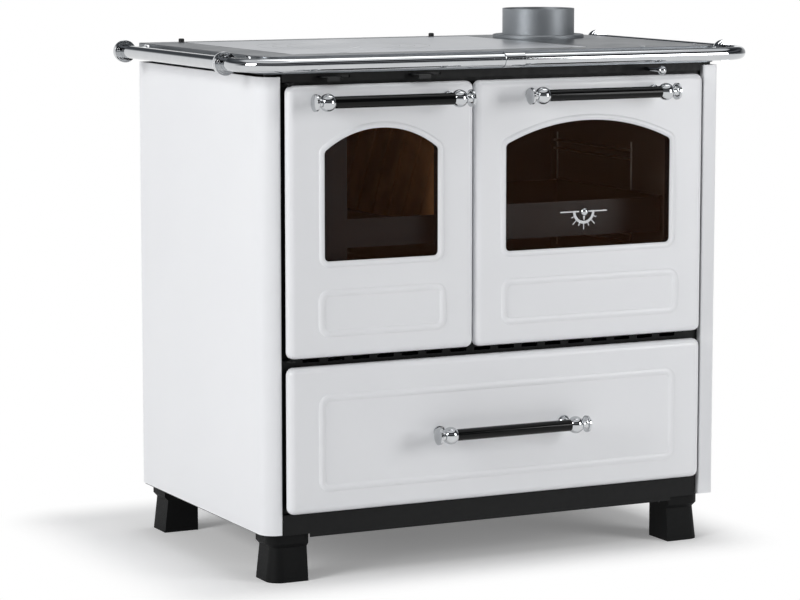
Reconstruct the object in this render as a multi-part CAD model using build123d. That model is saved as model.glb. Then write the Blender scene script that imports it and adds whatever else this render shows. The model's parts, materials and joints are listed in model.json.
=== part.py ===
# A free-standing wood cookstove: firebox on the left, oven on the right, wood drawer below,
# a cast cooking plate with lift-out rings, a flue spigot and a chrome rail round the top.
# Frame: x to the right, y to the back, z up. Origin under the middle of the whole stove, on the floor.
import os
from math import cos, radians, sin, sqrt, tan

from build123d import *

# ---------------------------------------------------------------- driving dimensions, millimetres
# whole stove
body_width = 852.0            # outer faces of the side panels
body_depth = 536.0            # front edge plane of the doors to the back of the side panels
worktop_height = 860.0
foot_height = 80.0

# sheets and castings
panel_sheet = 2.0             # enamelled side panels, back panel, door and drawer skins
liner_sheet = 2.0             # door liners, oven box, drawer box
casing_sheet = 3.0            # firebox casing and smoke duct
frame_plate = 4.0             # front frame and base plate
frame_setback = 14.0          # doors' edge plane to the front frame
panel_setback = 3.0           # doors' edge plane to the side panels' front lips
top_plate = 10.0              # cast top frame
plate_thickness = 6.0         # cooking plate, rings and centre disc

# gaps and fits
running_gap = 0.05            # pin in its hole, on the radius
body_gap = 0.3                # faces of pieces that move apart
fit_gap = 0.1                 # rail tube in its bracket, on the radius
ring_gap = 0.4                # round each lift-out ring, on the radius
plate_gap = 2.0               # groove round the cooking plate

# front layout
panel_lip = 31.7              # left side panel's front lip, outer face to inner edge
square_lip = 28.0             # the same on the right side panel
panel_reveal = 37.0           # side panel's outer face to the edge of the doors and drawer
front_radius = 27.0           # rolled front corners of the left side panel and the top frame
square_radius = 4.0           # folded front corner of the right side panel
rear_radius = 6.0
plinth_height = 34.0
drawer_height = 241.5
drawer_clear = 2.0            # plinth to drawer front
door_clear = 14.0             # drawer front to the doors
fire_door_width = 336.0
door_split = 3.0
top_rim = 28.0                # height of the top frame's edge
crossbar_zone = 19.0          # doors to the top frame

# pressed skins
pan_depth = 14.0
pan_corner = 12.0
pan_edge = 11.0
bead_width = 12.0
bead_height = 2.0
bead_margin = 58.0            # side edge to the middle of the bead, fire door and drawer
oven_bead_margin = 53.5
bead_corner = 13.0
door_bead_low = 39.5          # door's bottom edge to the bead
door_bead_height = 66.0
drawer_bead_low = 41.0
drawer_bead_high = 52.0       # bead to the drawer's top edge

# windows
fire_window_left = 63.5       # door's left edge to the window
fire_window_right = 67.0      # window to the door's right edge
oven_window_left = 56.2
oven_window_right = 66.2
window_low = 157.0            # door's bottom edge to the window
window_shoulder = 107.0       # top of the straight side to the door's top edge
window_crown = 71.0           # top of the arch to the door's top edge
window_corner = 8.0
rim_width = 10.0
rim_height = 2.4
glass_thickness = 4.0
glass_overlap = 12.0

# door liners
liner_rim = 1.0               # skin's wall to the liner's edge
liner_flange = 6.0            # liner's flange in front of the edge plane
liner_step = 6.0              # liner's back plate behind the edge plane

# handles
handle_length = 287.0
handle_end_length = 36.5
handle_rod_radius = 9.75
handle_reach = 42.0           # rod axis in front of the door face
handle_ball_radius = 14.5
handle_drop = 25.0            # rod axis below the door's top edge
drawer_handle_drop = 123.0
post_radius = 5.0
rosette_radius = 10.0

# hinges
hinge_pin_radius = 3.0
hinge_pin_length = 20.0
hinge_boss_start = 10.0       # door edge to the boss round its pin
hinge_wall = 1.2              # metal round a pin hole
fire_hinge_inset = 8.0        # axis in from the door's left edge
fire_hinge_front = 3.0        # axis in front of the edge plane
oven_hinge_rise = 6.5         # axis above the door's bottom edge
oven_hinge_back = 5.0         # axis behind the edge plane
oven_hinge_inset = 42.0       # lug in from the door's side edges
hinge_lug = 5.0
hinge_ear = 8.0               # each side of the lug's notch
hinge_play = 1.5              # lug to each ear

# openings in the front frame
fire_opening_left = 117.0     # fire door's left edge to the opening
fire_opening_right = 45.0
fire_opening_low = 221.0      # doors' bottom edge to the fire opening
fire_opening_high = 46.0      # fire opening to the doors' top edge
ash_opening_low = 24.0
ash_opening_high = 174.0
oven_opening_margin = 45.0
oven_opening_high = 35.0
drawer_opening_margin = 14.0
vent_pitch = 45.0             # row of slots between the doors and the drawer
vent_length = 30.0
vent_height = 6.0
air_slot_length = 50.0        # behind each finger tab
air_slot_height = 7.0
gasket_width = 10.0
gasket_margin = 8.0

# cooking plate, from the edges of the top frame
hob_left = 76.0
hob_right = 223.0
hob_front = 62.0
hob_rear = 36.0
notch_left = 172.0            # lifter notch, from the left side panel
notch_radius = 10.0
ring_left = 273.0             # rings' centre, from the left side panel
ring_forward = 3.0            # rings' centre in front of the plate's middle
disc_radius = 96.5
inner_ring_width = 25.0
outer_ring_width = 25.5
ledge_width = 9.0

# flue
flue_right = 123.0            # axis, from the right side panel
flue_rear = 122.0             # axis, from the back
flue_radius = 65.0
flue_wall = 2.5
flue_height = 52.0
flange_width = 17.5
flange_thickness = 5.5

# small things on the top and the back
cap_left = 77.0               # plugs near the rear edge, from the side panels
cap_right = 284.0
cap_rear = 11.0
cap_radius = 5.0
cap_height = 6.0
top_screw_places = ((140.0, 18.0), (17.0, 50.0))       # from the right side, from the front
back_slot_rows = 8            # vent slots in the back panel, two fields
back_slot_rise = 150.0        # panel's bottom edge to the lowest slot
back_slot_pitch = 16.0
back_slot_length = 90.0
back_slot_height = 5.0

# rail
rail_radius = 11.0
rail_wall = 1.5
rail_drop = 12.0              # rail axis below the worktop
rail_side = 44.0              # rail axis outside the side panels
rail_front = 47.0             # rail axis in front of the edge plane
rail_bend = 72.0              # axis radius of the corner bends
bracket_wall = 8.0
bracket_front = 50.0          # edge plane to the front bracket
bracket_rear = 51.0           # rear bracket to the back
bracket_arm = 5.0             # bracket's middle to the axis of its arm
bracket_arm_radius = 8.0
sleeve_wall = 1.8
sleeve_length = 37.0

# damper and air slide
damper_right = 143.0          # rod axis, from the right side panel
damper_drop = 36.5            # rod axis below the worktop
damper_rod_radius = 3.0
damper_reach = 50.0           # knob centre in front of the edge plane
damper_knob_radius = 7.5
damper_neck_length = 16.0
damper_plate_front = 96.0     # flap's front edge to the flue's axis
damper_plate_length = 186.0
damper_plate_width = 126.0
damper_lap = 8.0              # flap beyond the duct that it covers
air_tab_width = 36.0
air_tab_spacing = 164.0
air_tab_reach = 17.0
air_travel = 20.0

# fire chamber, oven and drawer
chamber_rear = 76.0           # casing to the back
casing_left = 84.0            # fire door's left edge to the casing
lining_thickness = 12.0
flute_pitch = 58.0
flute_width = 16.0
flute_depth = 4.0
flute_slant = 27.0            # degrees, the flutes' tops lean to the front
grate_level = 190.0           # doors' bottom edge to the grate plate
oven_box_margin = 26.0        # oven door's side edges to the oven box
oven_box_low = 34.0
oven_box_high = 23.0
oven_rear = 66.0              # oven box to the back
guide_low = 135.0             # doors' bottom edge to the lowest runner
guide_pitch = 74.0
guide_top = 110.0             # free height above the runners
guide_pair = 15.0
guide_wire = 2.0              # radius of the runner wires
guide_upright = 1.5           # radius of the uprights behind them
guide_clear = 0.2             # wires to the wall, and tray to the wires
guide_front = 158.0
tray_depth = 60.0
drawer_side_gap = 9.0
drawer_low_gap = 10.0         # drawer front's bottom edge to the box
drawer_high_gap = 27.5        # box to the drawer front's top edge
drawer_rear = 66.0            # box to the back
runner_width = 20.0
runner_inset = 66.0           # runner's middle in from the side of the box

# feet
foot_depth = 63.0
foot_width = 66.5
rear_foot_width = 63.0
foot_inset = 15.5             # foot's outer face in from the side panel
foot_front = 13.7
foot_collar = 16.0
foot_step = 6.5
foot_slant = 7.0              # height of the slanted step
foot_corner = 24.0            # rounding of the foot's outer corner
rear_foot_corner = 12.0

# thermometer on the oven glass
dial_rise = 59.5              # window's low edge to the spindle
dial_left = 9.0               # spindle to the window's middle
spindle_radius = 2.0
hub_radius = 7.5
dial_inner = 16.0
dial_outer = 20.5
tick_reach = 30.0
bar_reach = 45.0
dial_thickness = 0.6

# ---------------------------------------------------------------- places worked out from them
bracket_radius = rail_radius + bracket_wall
front_reach = max(pan_depth + handle_reach + handle_ball_radius, rail_front + bracket_radius)
front = (front_reach - body_depth) / 2          # y of the doors' edge plane
back = front + body_depth
face = front - pan_depth                        # y of the door and drawer faces
half_body = body_width / 2
half_front = half_body - panel_reveal
inside = half_body - panel_sheet

plinth_top = foot_height + plinth_height
drawer_bottom = plinth_top + drawer_clear
drawer_top = drawer_bottom + drawer_height
door_bottom = drawer_top + door_clear
rim_bottom = worktop_height - top_rim
door_top = rim_bottom - crossbar_zone
panel_bottom = foot_height + 2.0
panel_top = rim_bottom - 5.0

fire_left = -half_front
fire_right = fire_left + fire_door_width
oven_left = fire_right + door_split
oven_right = half_front

frame_front = front + frame_setback             # front face of the front frame
frame_back = frame_front + frame_plate
base_top = foot_height + frame_plate
corner_depth = front_radius + panel_setback - frame_setback     # to the centre of the panels' rolled corner
frame_side = half_body - front_radius + sqrt((front_radius - panel_sheet) ** 2 - corner_depth ** 2) - 0.2
back_sheet = back - 2 * panel_sheet             # y of the back panel's inner face

fire_axis_x = fire_left + fire_hinge_inset
fire_axis_y = front - fire_hinge_front
oven_axis_y = front + oven_hinge_back
oven_axis_z = door_bottom + oven_hinge_rise

ring_x = ring_left - half_body
ring_y = (front + hob_front + back - hob_rear) / 2 - ring_forward
inner_ring_radius = disc_radius + inner_ring_width
outer_ring_radius = inner_ring_radius + outer_ring_width
flue_axis_x = half_body - flue_right
flue_axis_y = back - flue_rear
damper_axis_x = half_body - damper_right
damper_plate_y = flue_axis_y - damper_plate_front
damper_z = worktop_height - damper_drop
rail_z = worktop_height - rail_drop
rail_x = half_body + rail_side
rail_y = front - rail_front


# ---------------------------------------------------------------- shared shapes
def block(x0, x1, y0, y1, z0, z1):
    """A box from its six faces."""
    return Pos((x0 + x1) / 2, (y0 + y1) / 2, (z0 + z1) / 2) * Box(x1 - x0, y1 - y0, z1 - z0)


def round_x(x0, x1, y, z, radius):
    """A round bar along x."""
    return Pos((x0 + x1) / 2, y, z) * Rot(0, 90, 0) * Cylinder(radius, x1 - x0)


def round_y(x, y0, y1, z, radius):
    """A round bar along y."""
    return Pos(x, (y0 + y1) / 2, z) * Rot(90, 0, 0) * Cylinder(radius, y1 - y0)


def round_z(x, y, z0, z1, radius):
    """A round bar along z."""
    return Pos(x, y, (z0 + z1) / 2) * Cylinder(radius, z1 - z0)


def upright_plate(outline, y0, y1):
    """An outline drawn in x and z, as a plate from y0 to y1."""
    return extrude(Plane.XZ.offset(-y1) * outline, amount=y1 - y0)


def rounded_outline(x0, x1, z0, z1, radius):
    """A rounded rectangle drawn in x and z."""
    return Pos((x0 + x1) / 2, (z0 + z1) / 2) * RectangleRounded(x1 - x0, z1 - z0, radius)


def ring_plate(x0, x1, z0, z1, radius, width, y0, y1):
    """A flat rounded rectangular ring, its outer edge on the given limits."""
    outer = rounded_outline(x0, x1, z0, z1, radius)
    inner = rounded_outline(x0 + width, x1 - width, z0 + width, z1 - width, radius - width / 2)
    return upright_plate(outer, y0, y1) - upright_plate(inner, y0 - 1, y1 + 1)


def mirrored(shape):
    """The same piece on the other side of the stove."""
    return mirror(shape, about=Plane.YZ)


def group(*shapes):
    """Several separate solids kept in one node."""
    return Compound(children=[solid for shape in shapes for solid in shape.solids()])


# ---------------------------------------------------------------- pressed door and drawer skins
def pressed_pan(x0, x1, z0, z1):
    """A thin pan, open at the back, with rounded corners and rolled front edges."""
    def form(inset, y_end):
        body = block(x0 + inset, x1 - inset, face + inset, y_end, z0 + inset, z1 - inset)
        body = fillet(body.edges().filter_by(Axis.Y), pan_corner - inset)
        return fillet(body.faces().sort_by(Axis.Y)[0].edges(), pan_edge - inset)
    return form(0, front) - form(panel_sheet, front + 1)


def raised_line(path, width, height):
    """A rounded line pressed up from the face along a closed path drawn in x and z."""
    wire = (Plane.XZ.offset(-face) * path).wire()
    start = wire.position_at(0)
    along = wire.tangent_at(0)
    section_plane = Plane(origin=start, x_dir=(0, 1, 0), z_dir=along)
    sunk = panel_sheet / 2
    outline = [
        ThreePointArc((0, -width / 2), (-height, 0), (0, width / 2)),
        Polyline((0, width / 2), (sunk, width / 2), (sunk, -width / 2), (0, -width / 2)),
    ]
    return sweep(section_plane * make_face(outline), path=wire)


def bead(x0, x1, z0, z1):
    """The rounded rectangular bead on a door or drawer face."""
    return raised_line(rounded_outline(x0, x1, z0, z1, bead_corner), bead_width, bead_height)


def window_outline(centre, width):
    """A window with straight sides and a low arched head, drawn in x and z."""
    low = door_bottom + window_low
    shoulder = door_top - window_shoulder
    crown = door_top - window_crown
    left, right = centre - width / 2, centre + width / 2
    sides = Polyline((left, shoulder), (left, low), (right, low), (right, shoulder))
    arch = ThreePointArc((right, shoulder), (centre, crown), (left, shoulder))
    outline = make_face([sides, arch])
    return fillet(outline.vertices(), window_corner)


def door_skin(x0, x1, centre, width, margin):
    """A door's enamelled skin with its window, raised window rim and lower bead."""
    outline = window_outline(centre, width)
    skin = pressed_pan(x0, x1, door_bottom, door_top)
    skin += raised_line(offset(outline, rim_width / 2), rim_width, rim_height)
    skin += bead(x0 + margin, x1 - margin, door_bottom + door_bead_low,
                 door_bottom + door_bead_low + door_bead_height)
    return skin - upright_plate(outline, face - 5, front + 5)


def door_liner(x0, x1, centre, width):
    """The pressed steel inside of a door: back plate, outer flange and a wall round the glass."""
    rim = panel_sheet + liner_rim
    corner = pan_corner - rim
    outer = rounded_outline(x0 + rim, x1 - rim, door_bottom + rim, door_top - rim, corner)
    inner = offset(outer, -liner_sheet)
    window = offset(window_outline(centre, width), 3.0)
    sleeve = offset(window, liner_sheet)
    flange_front = front - liner_flange
    plate_front = front + liner_step
    plate_back = plate_front + liner_sheet
    glass_back = face + panel_sheet + glass_thickness
    liner = upright_plate(outer, plate_front, plate_back)
    flange = upright_plate(outer, flange_front, plate_back)
    liner += flange - upright_plate(inner, flange_front - 1, plate_back)
    liner += upright_plate(sleeve, glass_back, plate_back)
    return liner - upright_plate(window, glass_back - 1, plate_back + 1)


def door_glass(centre, width):
    """The ceramic glass clamped behind a window."""
    pane = offset(window_outline(centre, width), glass_overlap)
    return upright_plate(pane, face + panel_sheet, face + panel_sheet + glass_thickness)


def door_gasket(x0, x1, z0, z1):
    """The sealing rope on the back of a door, round the opening that it closes."""
    return ring_plate(x0 - gasket_margin - gasket_width, x1 + gasket_margin + gasket_width,
                      z0 - gasket_width - 3.0, z1 + gasket_margin + gasket_width, 18.0, gasket_width,
                      front + liner_step + liner_sheet, frame_front - body_gap)


# ---------------------------------------------------------------- handles
def handle_rod(centre, z):
    """The black grip between the two chrome ends."""
    half = handle_length / 2 - handle_end_length
    return round_x(centre - half, centre + half, face - handle_reach, z, handle_rod_radius)


def dome_arc(x_rim, radius, x_tip):
    """A shallow arc from a rim to the axis, its centre on the axis."""
    rise = x_tip - x_rim
    sphere = (radius ** 2 + rise ** 2) / (2 * rise)
    y_mid = radius / 2
    x_mid = x_tip - sphere + sqrt(sphere ** 2 - y_mid ** 2)
    return ThreePointArc((x_rim, radius), (x_mid, y_mid), (x_tip, 0))


def handle_end(centre, z):
    """The right-hand end: a turned ball, neck and disc, with its post back to the face."""
    ball_centre, neck, disc, tip = 11.0, 7.5, 14.0, handle_end_length
    cut = sqrt(handle_ball_radius ** 2 - ball_centre ** 2)
    profile = [
        Line((0, 0), (0, cut)),
        ThreePointArc((0, cut), (ball_centre, handle_ball_radius), (2 * ball_centre, cut)),
        Line((2 * ball_centre, cut), (23.5, neck)),
        Line((23.5, neck), (27, neck)),
        ThreePointArc((27, neck), (29.9, 9.6), (31, disc)),
        Line((31, disc), (tip - 2.0, disc)),
        dome_arc(tip - 2.0, disc, tip),
        Line((tip, 0), (0, 0)),
    ]
    turned = revolve(make_face(profile), axis=Axis.X)
    start = centre + handle_length / 2 - handle_end_length
    axis_y = face - handle_reach
    post_x = start + ball_centre
    end = Pos(start, axis_y, z) * turned
    end += round_y(post_x, axis_y, face, z, post_radius)
    end += round_y(post_x, face - 3.0, face, z, rosette_radius)
    end += Pos(post_x, face - 5.5, z) * Rot(90, 0, 0) * Cone(rosette_radius - 2, post_radius, 5)
    return end


def handle_ends(centre, z):
    """Both chrome ends of a handle, one the mirror image of the other."""
    right = handle_end(0, z)
    return group(Pos(centre, 0, 0) * right, Pos(centre, 0, 0) * mirrored(right))


# ---------------------------------------------------------------- carcass
def base_plate():
    """The floor of the body, its corners rounded to clear the panels' folds."""
    plate = block(-inside, inside, frame_front, back_sheet, foot_height, base_top)
    corners = plate.edges().filter_by(Axis.Z).sort_by(Axis.Y)
    plate = fillet(corners[:2], corner_depth)
    return fillet(plate.edges().filter_by(Axis.Z).sort_by(Axis.Y)[-2:], rear_radius - panel_sheet)


def plinth_bar():
    """Folded sheet below the drawer: front wall, top flange, end flanges and a lip between the feet."""
    side = half_body - panel_lip - 2.0
    y0, y1 = front + 7.0, frame_front
    between_feet = half_body - foot_inset - foot_width - 0.5
    bar = block(-side, side, y0, y0 + liner_sheet, foot_height, plinth_top)
    bar += block(-side, side, y0, y1, plinth_top - liner_sheet, plinth_top)
    bar += block(-between_feet, between_feet, y0, y0 + liner_sheet, foot_height - 6.0, foot_height)
    for x in (-side, side - liner_sheet):
        bar += block(x, x + liner_sheet, y0, y1, foot_height, plinth_top)
    return bar


def fire_opening():
    return (fire_left + fire_opening_left, fire_right - fire_opening_right,
            door_bottom + fire_opening_low, door_top - fire_opening_high)


def ash_opening():
    x0, x1, _, _ = fire_opening()
    return x0, x1, door_bottom + ash_opening_low, door_bottom + ash_opening_high


def oven_opening():
    return (oven_left + oven_opening_margin, oven_right - oven_opening_margin,
            door_bottom + oven_opening_margin, door_top - oven_opening_high)


def front_frame():
    """The frame behind the doors, of flat strips butted together, with vent slots and the rod's hole."""
    fire_x0, fire_x1, fire_z0, fire_z1 = fire_opening()
    ash_z0, ash_z1 = ash_opening()[2:]
    oven_x0, oven_x1, oven_z0, oven_z1 = oven_opening()
    side = half_front - drawer_opening_margin
    drawer_z0, drawer_z1 = drawer_bottom + drawer_low_gap - 4.0, drawer_top - drawer_opening_margin
    strips = [
        (-frame_side, -side, base_top, rim_bottom), (side, frame_side, base_top, rim_bottom),
        (-side, side, base_top, drawer_z0), (-side, side, drawer_z1, ash_z0),
        (-side, fire_x0, ash_z0, rim_bottom), (fire_x1, oven_x0, ash_z0, rim_bottom),
        (oven_x1, side, ash_z0, rim_bottom),
        (fire_x0, fire_x1, ash_z1, fire_z0), (fire_x0, fire_x1, fire_z1, rim_bottom),
        (oven_x0, oven_x1, ash_z0, oven_z0), (oven_x0, oven_x1, oven_z1, rim_bottom),
    ]
    slot_z = drawer_top + door_clear / 2
    slot_count = int((2 * half_front - 40.0) // vent_pitch)
    holes = [((index - (slot_count - 1) / 2) * vent_pitch, slot_z, vent_length, vent_height)
             for index in range(slot_count)]
    holes += [(x, rim_bottom - 7.5, air_slot_length, air_slot_height) for x in air_tab_centres()]
    pieces = []
    for x0, x1, z0, z1 in strips:
        strip = block(x0, x1, frame_front, frame_back, z0, z1)
        for x, z, length, height in holes:
            strip -= block(x - length / 2, x + length / 2, frame_front - 1, frame_back + 1,
                           z - height / 2, z + height / 2)
        pieces.append(strip - round_y(damper_axis_x, frame_front - 1, frame_back + 1, damper_z,
                                      damper_rod_radius + running_gap))
    return group(*pieces)


def back_panel():
    """Plain back sheet with two fields of vent slots."""
    side = half_body - rear_radius
    sheet = block(-side, side, back_sheet, back_sheet + panel_sheet, foot_height, panel_top)
    for x in (-inside / 2, inside / 2):
        for row in range(back_slot_rows):
            z = panel_bottom + back_slot_rise + row * back_slot_pitch
            sheet -= block(x - back_slot_length / 2, x + back_slot_length / 2, back_sheet - 1, back,
                           z - back_slot_height / 2, z + back_slot_height / 2)
    return sheet


def side_panel(lip_width, corner):
    """A right-hand panel: a folded sheet with a rounded front corner, a lip and a rear flange."""
    setback = front + panel_setback
    rear_flange = half_body - 22.0

    def path(inset, start_radius, front_r, rear_r):
        lip = half_body - lip_width + inset
        outer = half_body - inset
        return FilletPolyline((lip, frame_front), (lip, setback + inset), (outer, setback + inset),
                              (outer, back - inset), (rear_flange, back - inset),
                              radius=[start_radius, front_r, rear_r])
    outer = path(0, 2.5, corner, rear_radius)
    inner = path(panel_sheet, 0.5, corner - panel_sheet, rear_radius - panel_sheet)
    outline = make_face([outer, Line(outer @ 1, inner @ 1), inner, Line(inner @ 0, outer @ 0)])
    return Pos(0, 0, panel_bottom) * extrude(outline, amount=panel_top - panel_bottom, dir=(0, 0, 1))


def foot(x_outer, y_outer, x_way, y_way, width, corner):
    """A cast foot: collar, a slanted step in and a neck that flares to the floor.

    x_way and y_way point from the foot's rounded outer corner towards its flat inner faces.
    """
    def section(inset, z):
        wide, deep = width - inset, foot_depth - inset
        flat = Pos(wide / 2, deep / 2) * Rectangle(wide, deep)
        flat = fillet(flat.vertices().sort_by_distance((0, 0, 0))[0], corner - inset)
        return Pos(inset, inset, z) * flat

    step_top = foot_height - foot_collar
    step_low = step_top - foot_slant
    shape = extrude(section(0, step_top), amount=foot_collar, dir=(0, 0, 1))
    shape += loft([section(foot_step, step_low), section(0, step_top)], ruled=True)
    shape += loft([section(0, 0), section(foot_step, step_low)], ruled=True)
    if x_way < 0:
        shape = mirror(shape, about=Plane.YZ)
    if y_way < 0:
        shape = mirror(shape, about=Plane.XZ)
    return Pos(x_outer, y_outer, 0) * shape


def foot_pair(y_outer, y_way, width, corner):
    side = half_body - foot_inset
    return group(foot(-side, y_outer, 1, y_way, width, corner), foot(side, y_outer, -1, y_way, width, corner))


def foot_screws():
    """One hexagon screw in the inner side of each foot's collar."""
    rows = ((foot_width, front + foot_front + foot_depth / 2), (rear_foot_width, back - 1.0 - foot_depth / 2))
    z = foot_height - foot_collar / 2
    screws = []
    for width, y in rows:
        inner = half_body - foot_inset - width
        hexagon = extrude(RegularPolygon(5.5, 6), amount=1.5, both=True)
        head = Pos(inner - 1.5 - 1.2, y, z) * Rot(0, 90, 0) * hexagon
        washer = round_x(inner - 1.2, inner, y, z, 7.0)
        screw = head + washer
        screws += [screw, mirrored(screw)]
    return group(*screws)


# ---------------------------------------------------------------- cooking top
def hob_limits(grow=0.0):
    x0 = hob_left - half_body
    y0 = front + hob_front
    return x0 - grow, half_body - hob_right + grow, y0 - grow, back - hob_rear + grow


def flat_plate(limits, z0, z1, radius):
    """A horizontal plate with rounded corners."""
    x0, x1, y0, y1 = limits
    outline = Pos((x0 + x1) / 2, (y0 + y1) / 2, z0) * RectangleRounded(x1 - x0, y1 - y0, radius)
    return extrude(outline, amount=z1 - z0, dir=(0, 0, 1))


def top_frame():
    """The cast frame: a rim all round, a ledge for the cooking plate and the flue hole."""
    outer = block(-half_body, half_body, front, back, rim_bottom, worktop_height)
    edges = outer.edges().filter_by(Axis.Z).sort_by(Axis.Y)
    outer = fillet(edges[:2], front_radius)
    outer = fillet(outer.edges().filter_by(Axis.Z).sort_by(Axis.Y)[-2:], rear_radius)
    outer = fillet(outer.faces().sort_by(Axis.Z)[-1].edges(), 1.5)
    wall = 5.0
    hollow = flat_plate((-half_body + wall, half_body - wall, front + wall, back - wall),
                        rim_bottom - 1, worktop_height - top_plate, front_radius - wall)
    seat_z = worktop_height - plate_thickness - body_gap
    seat = flat_plate(hob_limits(plate_gap), seat_z, worktop_height + 1, 6.0)
    through = flat_plate(hob_limits(-ledge_width), rim_bottom, worktop_height + 1, 4.0)
    flue = round_z(flue_axis_x, flue_axis_y, rim_bottom, worktop_height + 1, flue_radius - flue_wall)
    return outer - hollow - seat - through - flue


def hob_plate():
    """The cast cooking plate, stepped to carry the rings, with a notch for the lifter."""
    low = worktop_height - plate_thickness
    plate = flat_plate(hob_limits(), low, worktop_height, 4.0)
    plate = chamfer(plate.faces().sort_by(Axis.Z)[-1].edges(), 0.8)
    notch_y = front + hob_front - 0.3 * notch_radius
    plate -= round_z(notch_left - half_body, notch_y, low - 1, worktop_height + 1, notch_radius)
    plate -= ring_seat(outer_ring_radius)
    return plate


def ring_seat(radius):
    """The stepped hole that a ring or disc of this radius drops into."""
    step = worktop_height - plate_thickness / 2 - body_gap
    wide = round_z(ring_x, ring_y, step, worktop_height + 1, radius + ring_gap)
    narrow = round_z(ring_x, ring_y, worktop_height - plate_thickness - 1, worktop_height,
                     radius - ledge_width)
    edge = radius + ring_gap
    bevel = Pos(ring_x, ring_y, worktop_height - 0.35) * Cone(edge, edge + 0.7, 0.7)
    return wide + narrow + bevel


def ring_body(radius):
    """A stepped disc: its flange sits on the ledge and its body hangs in the hole."""
    low = worktop_height - plate_thickness
    flange = round_z(ring_x, ring_y, low + plate_thickness / 2, worktop_height, radius)
    flange = chamfer(flange.faces().sort_by(Axis.Z)[-1].edges(), 0.7)
    return flange + round_z(ring_x, ring_y, low, low + plate_thickness / 2, radius - ledge_width - ring_gap)


def centre_disc():
    """The middle disc, with a blind slot for the lifter."""
    slot = Pos(ring_x, ring_y - disc_radius * 0.55, worktop_height - 2.5) * extrude(
        SlotOverall(26.0, 10.0), amount=4.0, dir=(0, 0, 1))
    return ring_body(disc_radius) - slot


def flue_collar():
    """The cast spigot that the stove pipe goes over, with its flange."""
    top = worktop_height + flue_height
    collar = round_z(flue_axis_x, flue_axis_y, worktop_height, top, flue_radius)
    flange = round_z(flue_axis_x, flue_axis_y, worktop_height, worktop_height + flange_thickness,
                     flue_radius + flange_width)
    collar += fillet(flange.faces().sort_by(Axis.Z)[-1].edges(), 2.0)
    return collar - round_z(flue_axis_x, flue_axis_y, worktop_height - 1, top + 1, flue_radius - flue_wall)


def rear_caps():
    """Two small black plugs near the rear edge of the top frame."""
    def cap(x):
        body = round_z(x, back - cap_rear, worktop_height, worktop_height + cap_height, cap_radius)
        return fillet(body.faces().sort_by(Axis.Z)[-1].edges(), 2.0)
    return group(cap(cap_left - half_body), cap(half_body - cap_right))


def top_screws():
    """Two slotted screw heads on the right part of the top frame."""
    def screw(from_right, from_front):
        x, y = half_body - from_right, front + from_front
        head = round_z(x, y, worktop_height, worktop_height + 1.4, 4.5)
        head = fillet(head.faces().sort_by(Axis.Z)[-1].edges(), 0.6)
        return head - block(x - 5, x + 5, y - 0.5, y + 0.5, worktop_height + 0.7, worktop_height + 2)
    return group(*[screw(from_right, from_front) for from_right, from_front in top_screw_places])


# ---------------------------------------------------------------- rail
def tube(path_edges, plane):
    """The rail tube along a path that starts square to the given plane."""
    outer = sweep(plane * Circle(rail_radius), path=path_edges)
    return outer - sweep(plane * Circle(rail_radius - rail_wall), path=path_edges)


def side_rail():
    """The straight right-hand tube between its two brackets."""
    y0, y1 = front + bracket_front, back - bracket_rear
    return round_y(rail_x, y0, y1, rail_z, rail_radius) - round_y(
        rail_x, y0 - 1, y1 + 1, rail_z, rail_radius - rail_wall)


def front_rail():
    """The right-hand half of the front tube, with its corner bend."""
    path = FilletPolyline((0.5, rail_y, rail_z), (rail_x, rail_y, rail_z),
                          (rail_x, front + bracket_front - 1.0, rail_z), radius=rail_bend)
    return tube(path, Plane(origin=(0.5, rail_y, rail_z), z_dir=(1, 0, 0)))


def rail_sleeve():
    """The joining sleeve in the middle of the front rail."""
    half = sleeve_length / 2
    sleeve = round_x(-half, half, rail_y, rail_z, rail_radius + sleeve_wall)
    sleeve = chamfer(sleeve.edges().filter_by(GeomType.CIRCLE), 0.6)
    return sleeve - round_x(-half - 1, half + 1, rail_y, rail_z, rail_radius + fit_gap)


def rail_bracket(y_ring, is_rear):
    """A turned cup round the rail with an arm to the edge of the top frame; the rear one is closed."""
    radius = bracket_radius
    nose, shoulder = rail_radius + 3.0, rail_radius + 5.5
    nose_end, shoulder_end, dome_start = 2.5, 6.0, 13.0
    profile = [
        Line((0, 0), (0, nose)),
        Line((0, nose), (nose_end, nose)),
        Line((nose_end, nose), (nose_end, shoulder)),
        Line((nose_end, shoulder), (shoulder_end, shoulder)),
        Line((shoulder_end, shoulder), (shoulder_end, radius)),
        Line((shoulder_end, radius), (dome_start, radius)),
        dome_arc(dome_start, radius, dome_start + radius),
        Line((dome_start + radius, 0), (0, 0)),
    ]
    cup = revolve(make_face(profile), axis=Axis.X)
    cup = Pos(rail_x, y_ring - 8.0, rail_z) * Rot(0, 0, 90) * cup
    arm = round_x(half_body, rail_x, y_ring + bracket_arm, rail_z, bracket_arm_radius)
    arm += round_x(half_body, half_body + 4.0, y_ring + bracket_arm, rail_z, bracket_arm_radius + 3.5)
    reach = y_ring + (6.0 if is_rear else 40.0)
    return cup + arm - round_y(rail_x, y_ring - 30, reach, rail_z, rail_radius + fit_gap)


def rail_brackets():
    return group(rail_bracket(front + bracket_front, False), rail_bracket(back - bracket_rear, True))


# ---------------------------------------------------------------- crossbar, air slide and damper
def air_tab_centres():
    middle = (fire_left + fire_right) / 2 - 7.0
    return middle - air_tab_spacing / 2, middle + air_tab_spacing / 2


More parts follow.
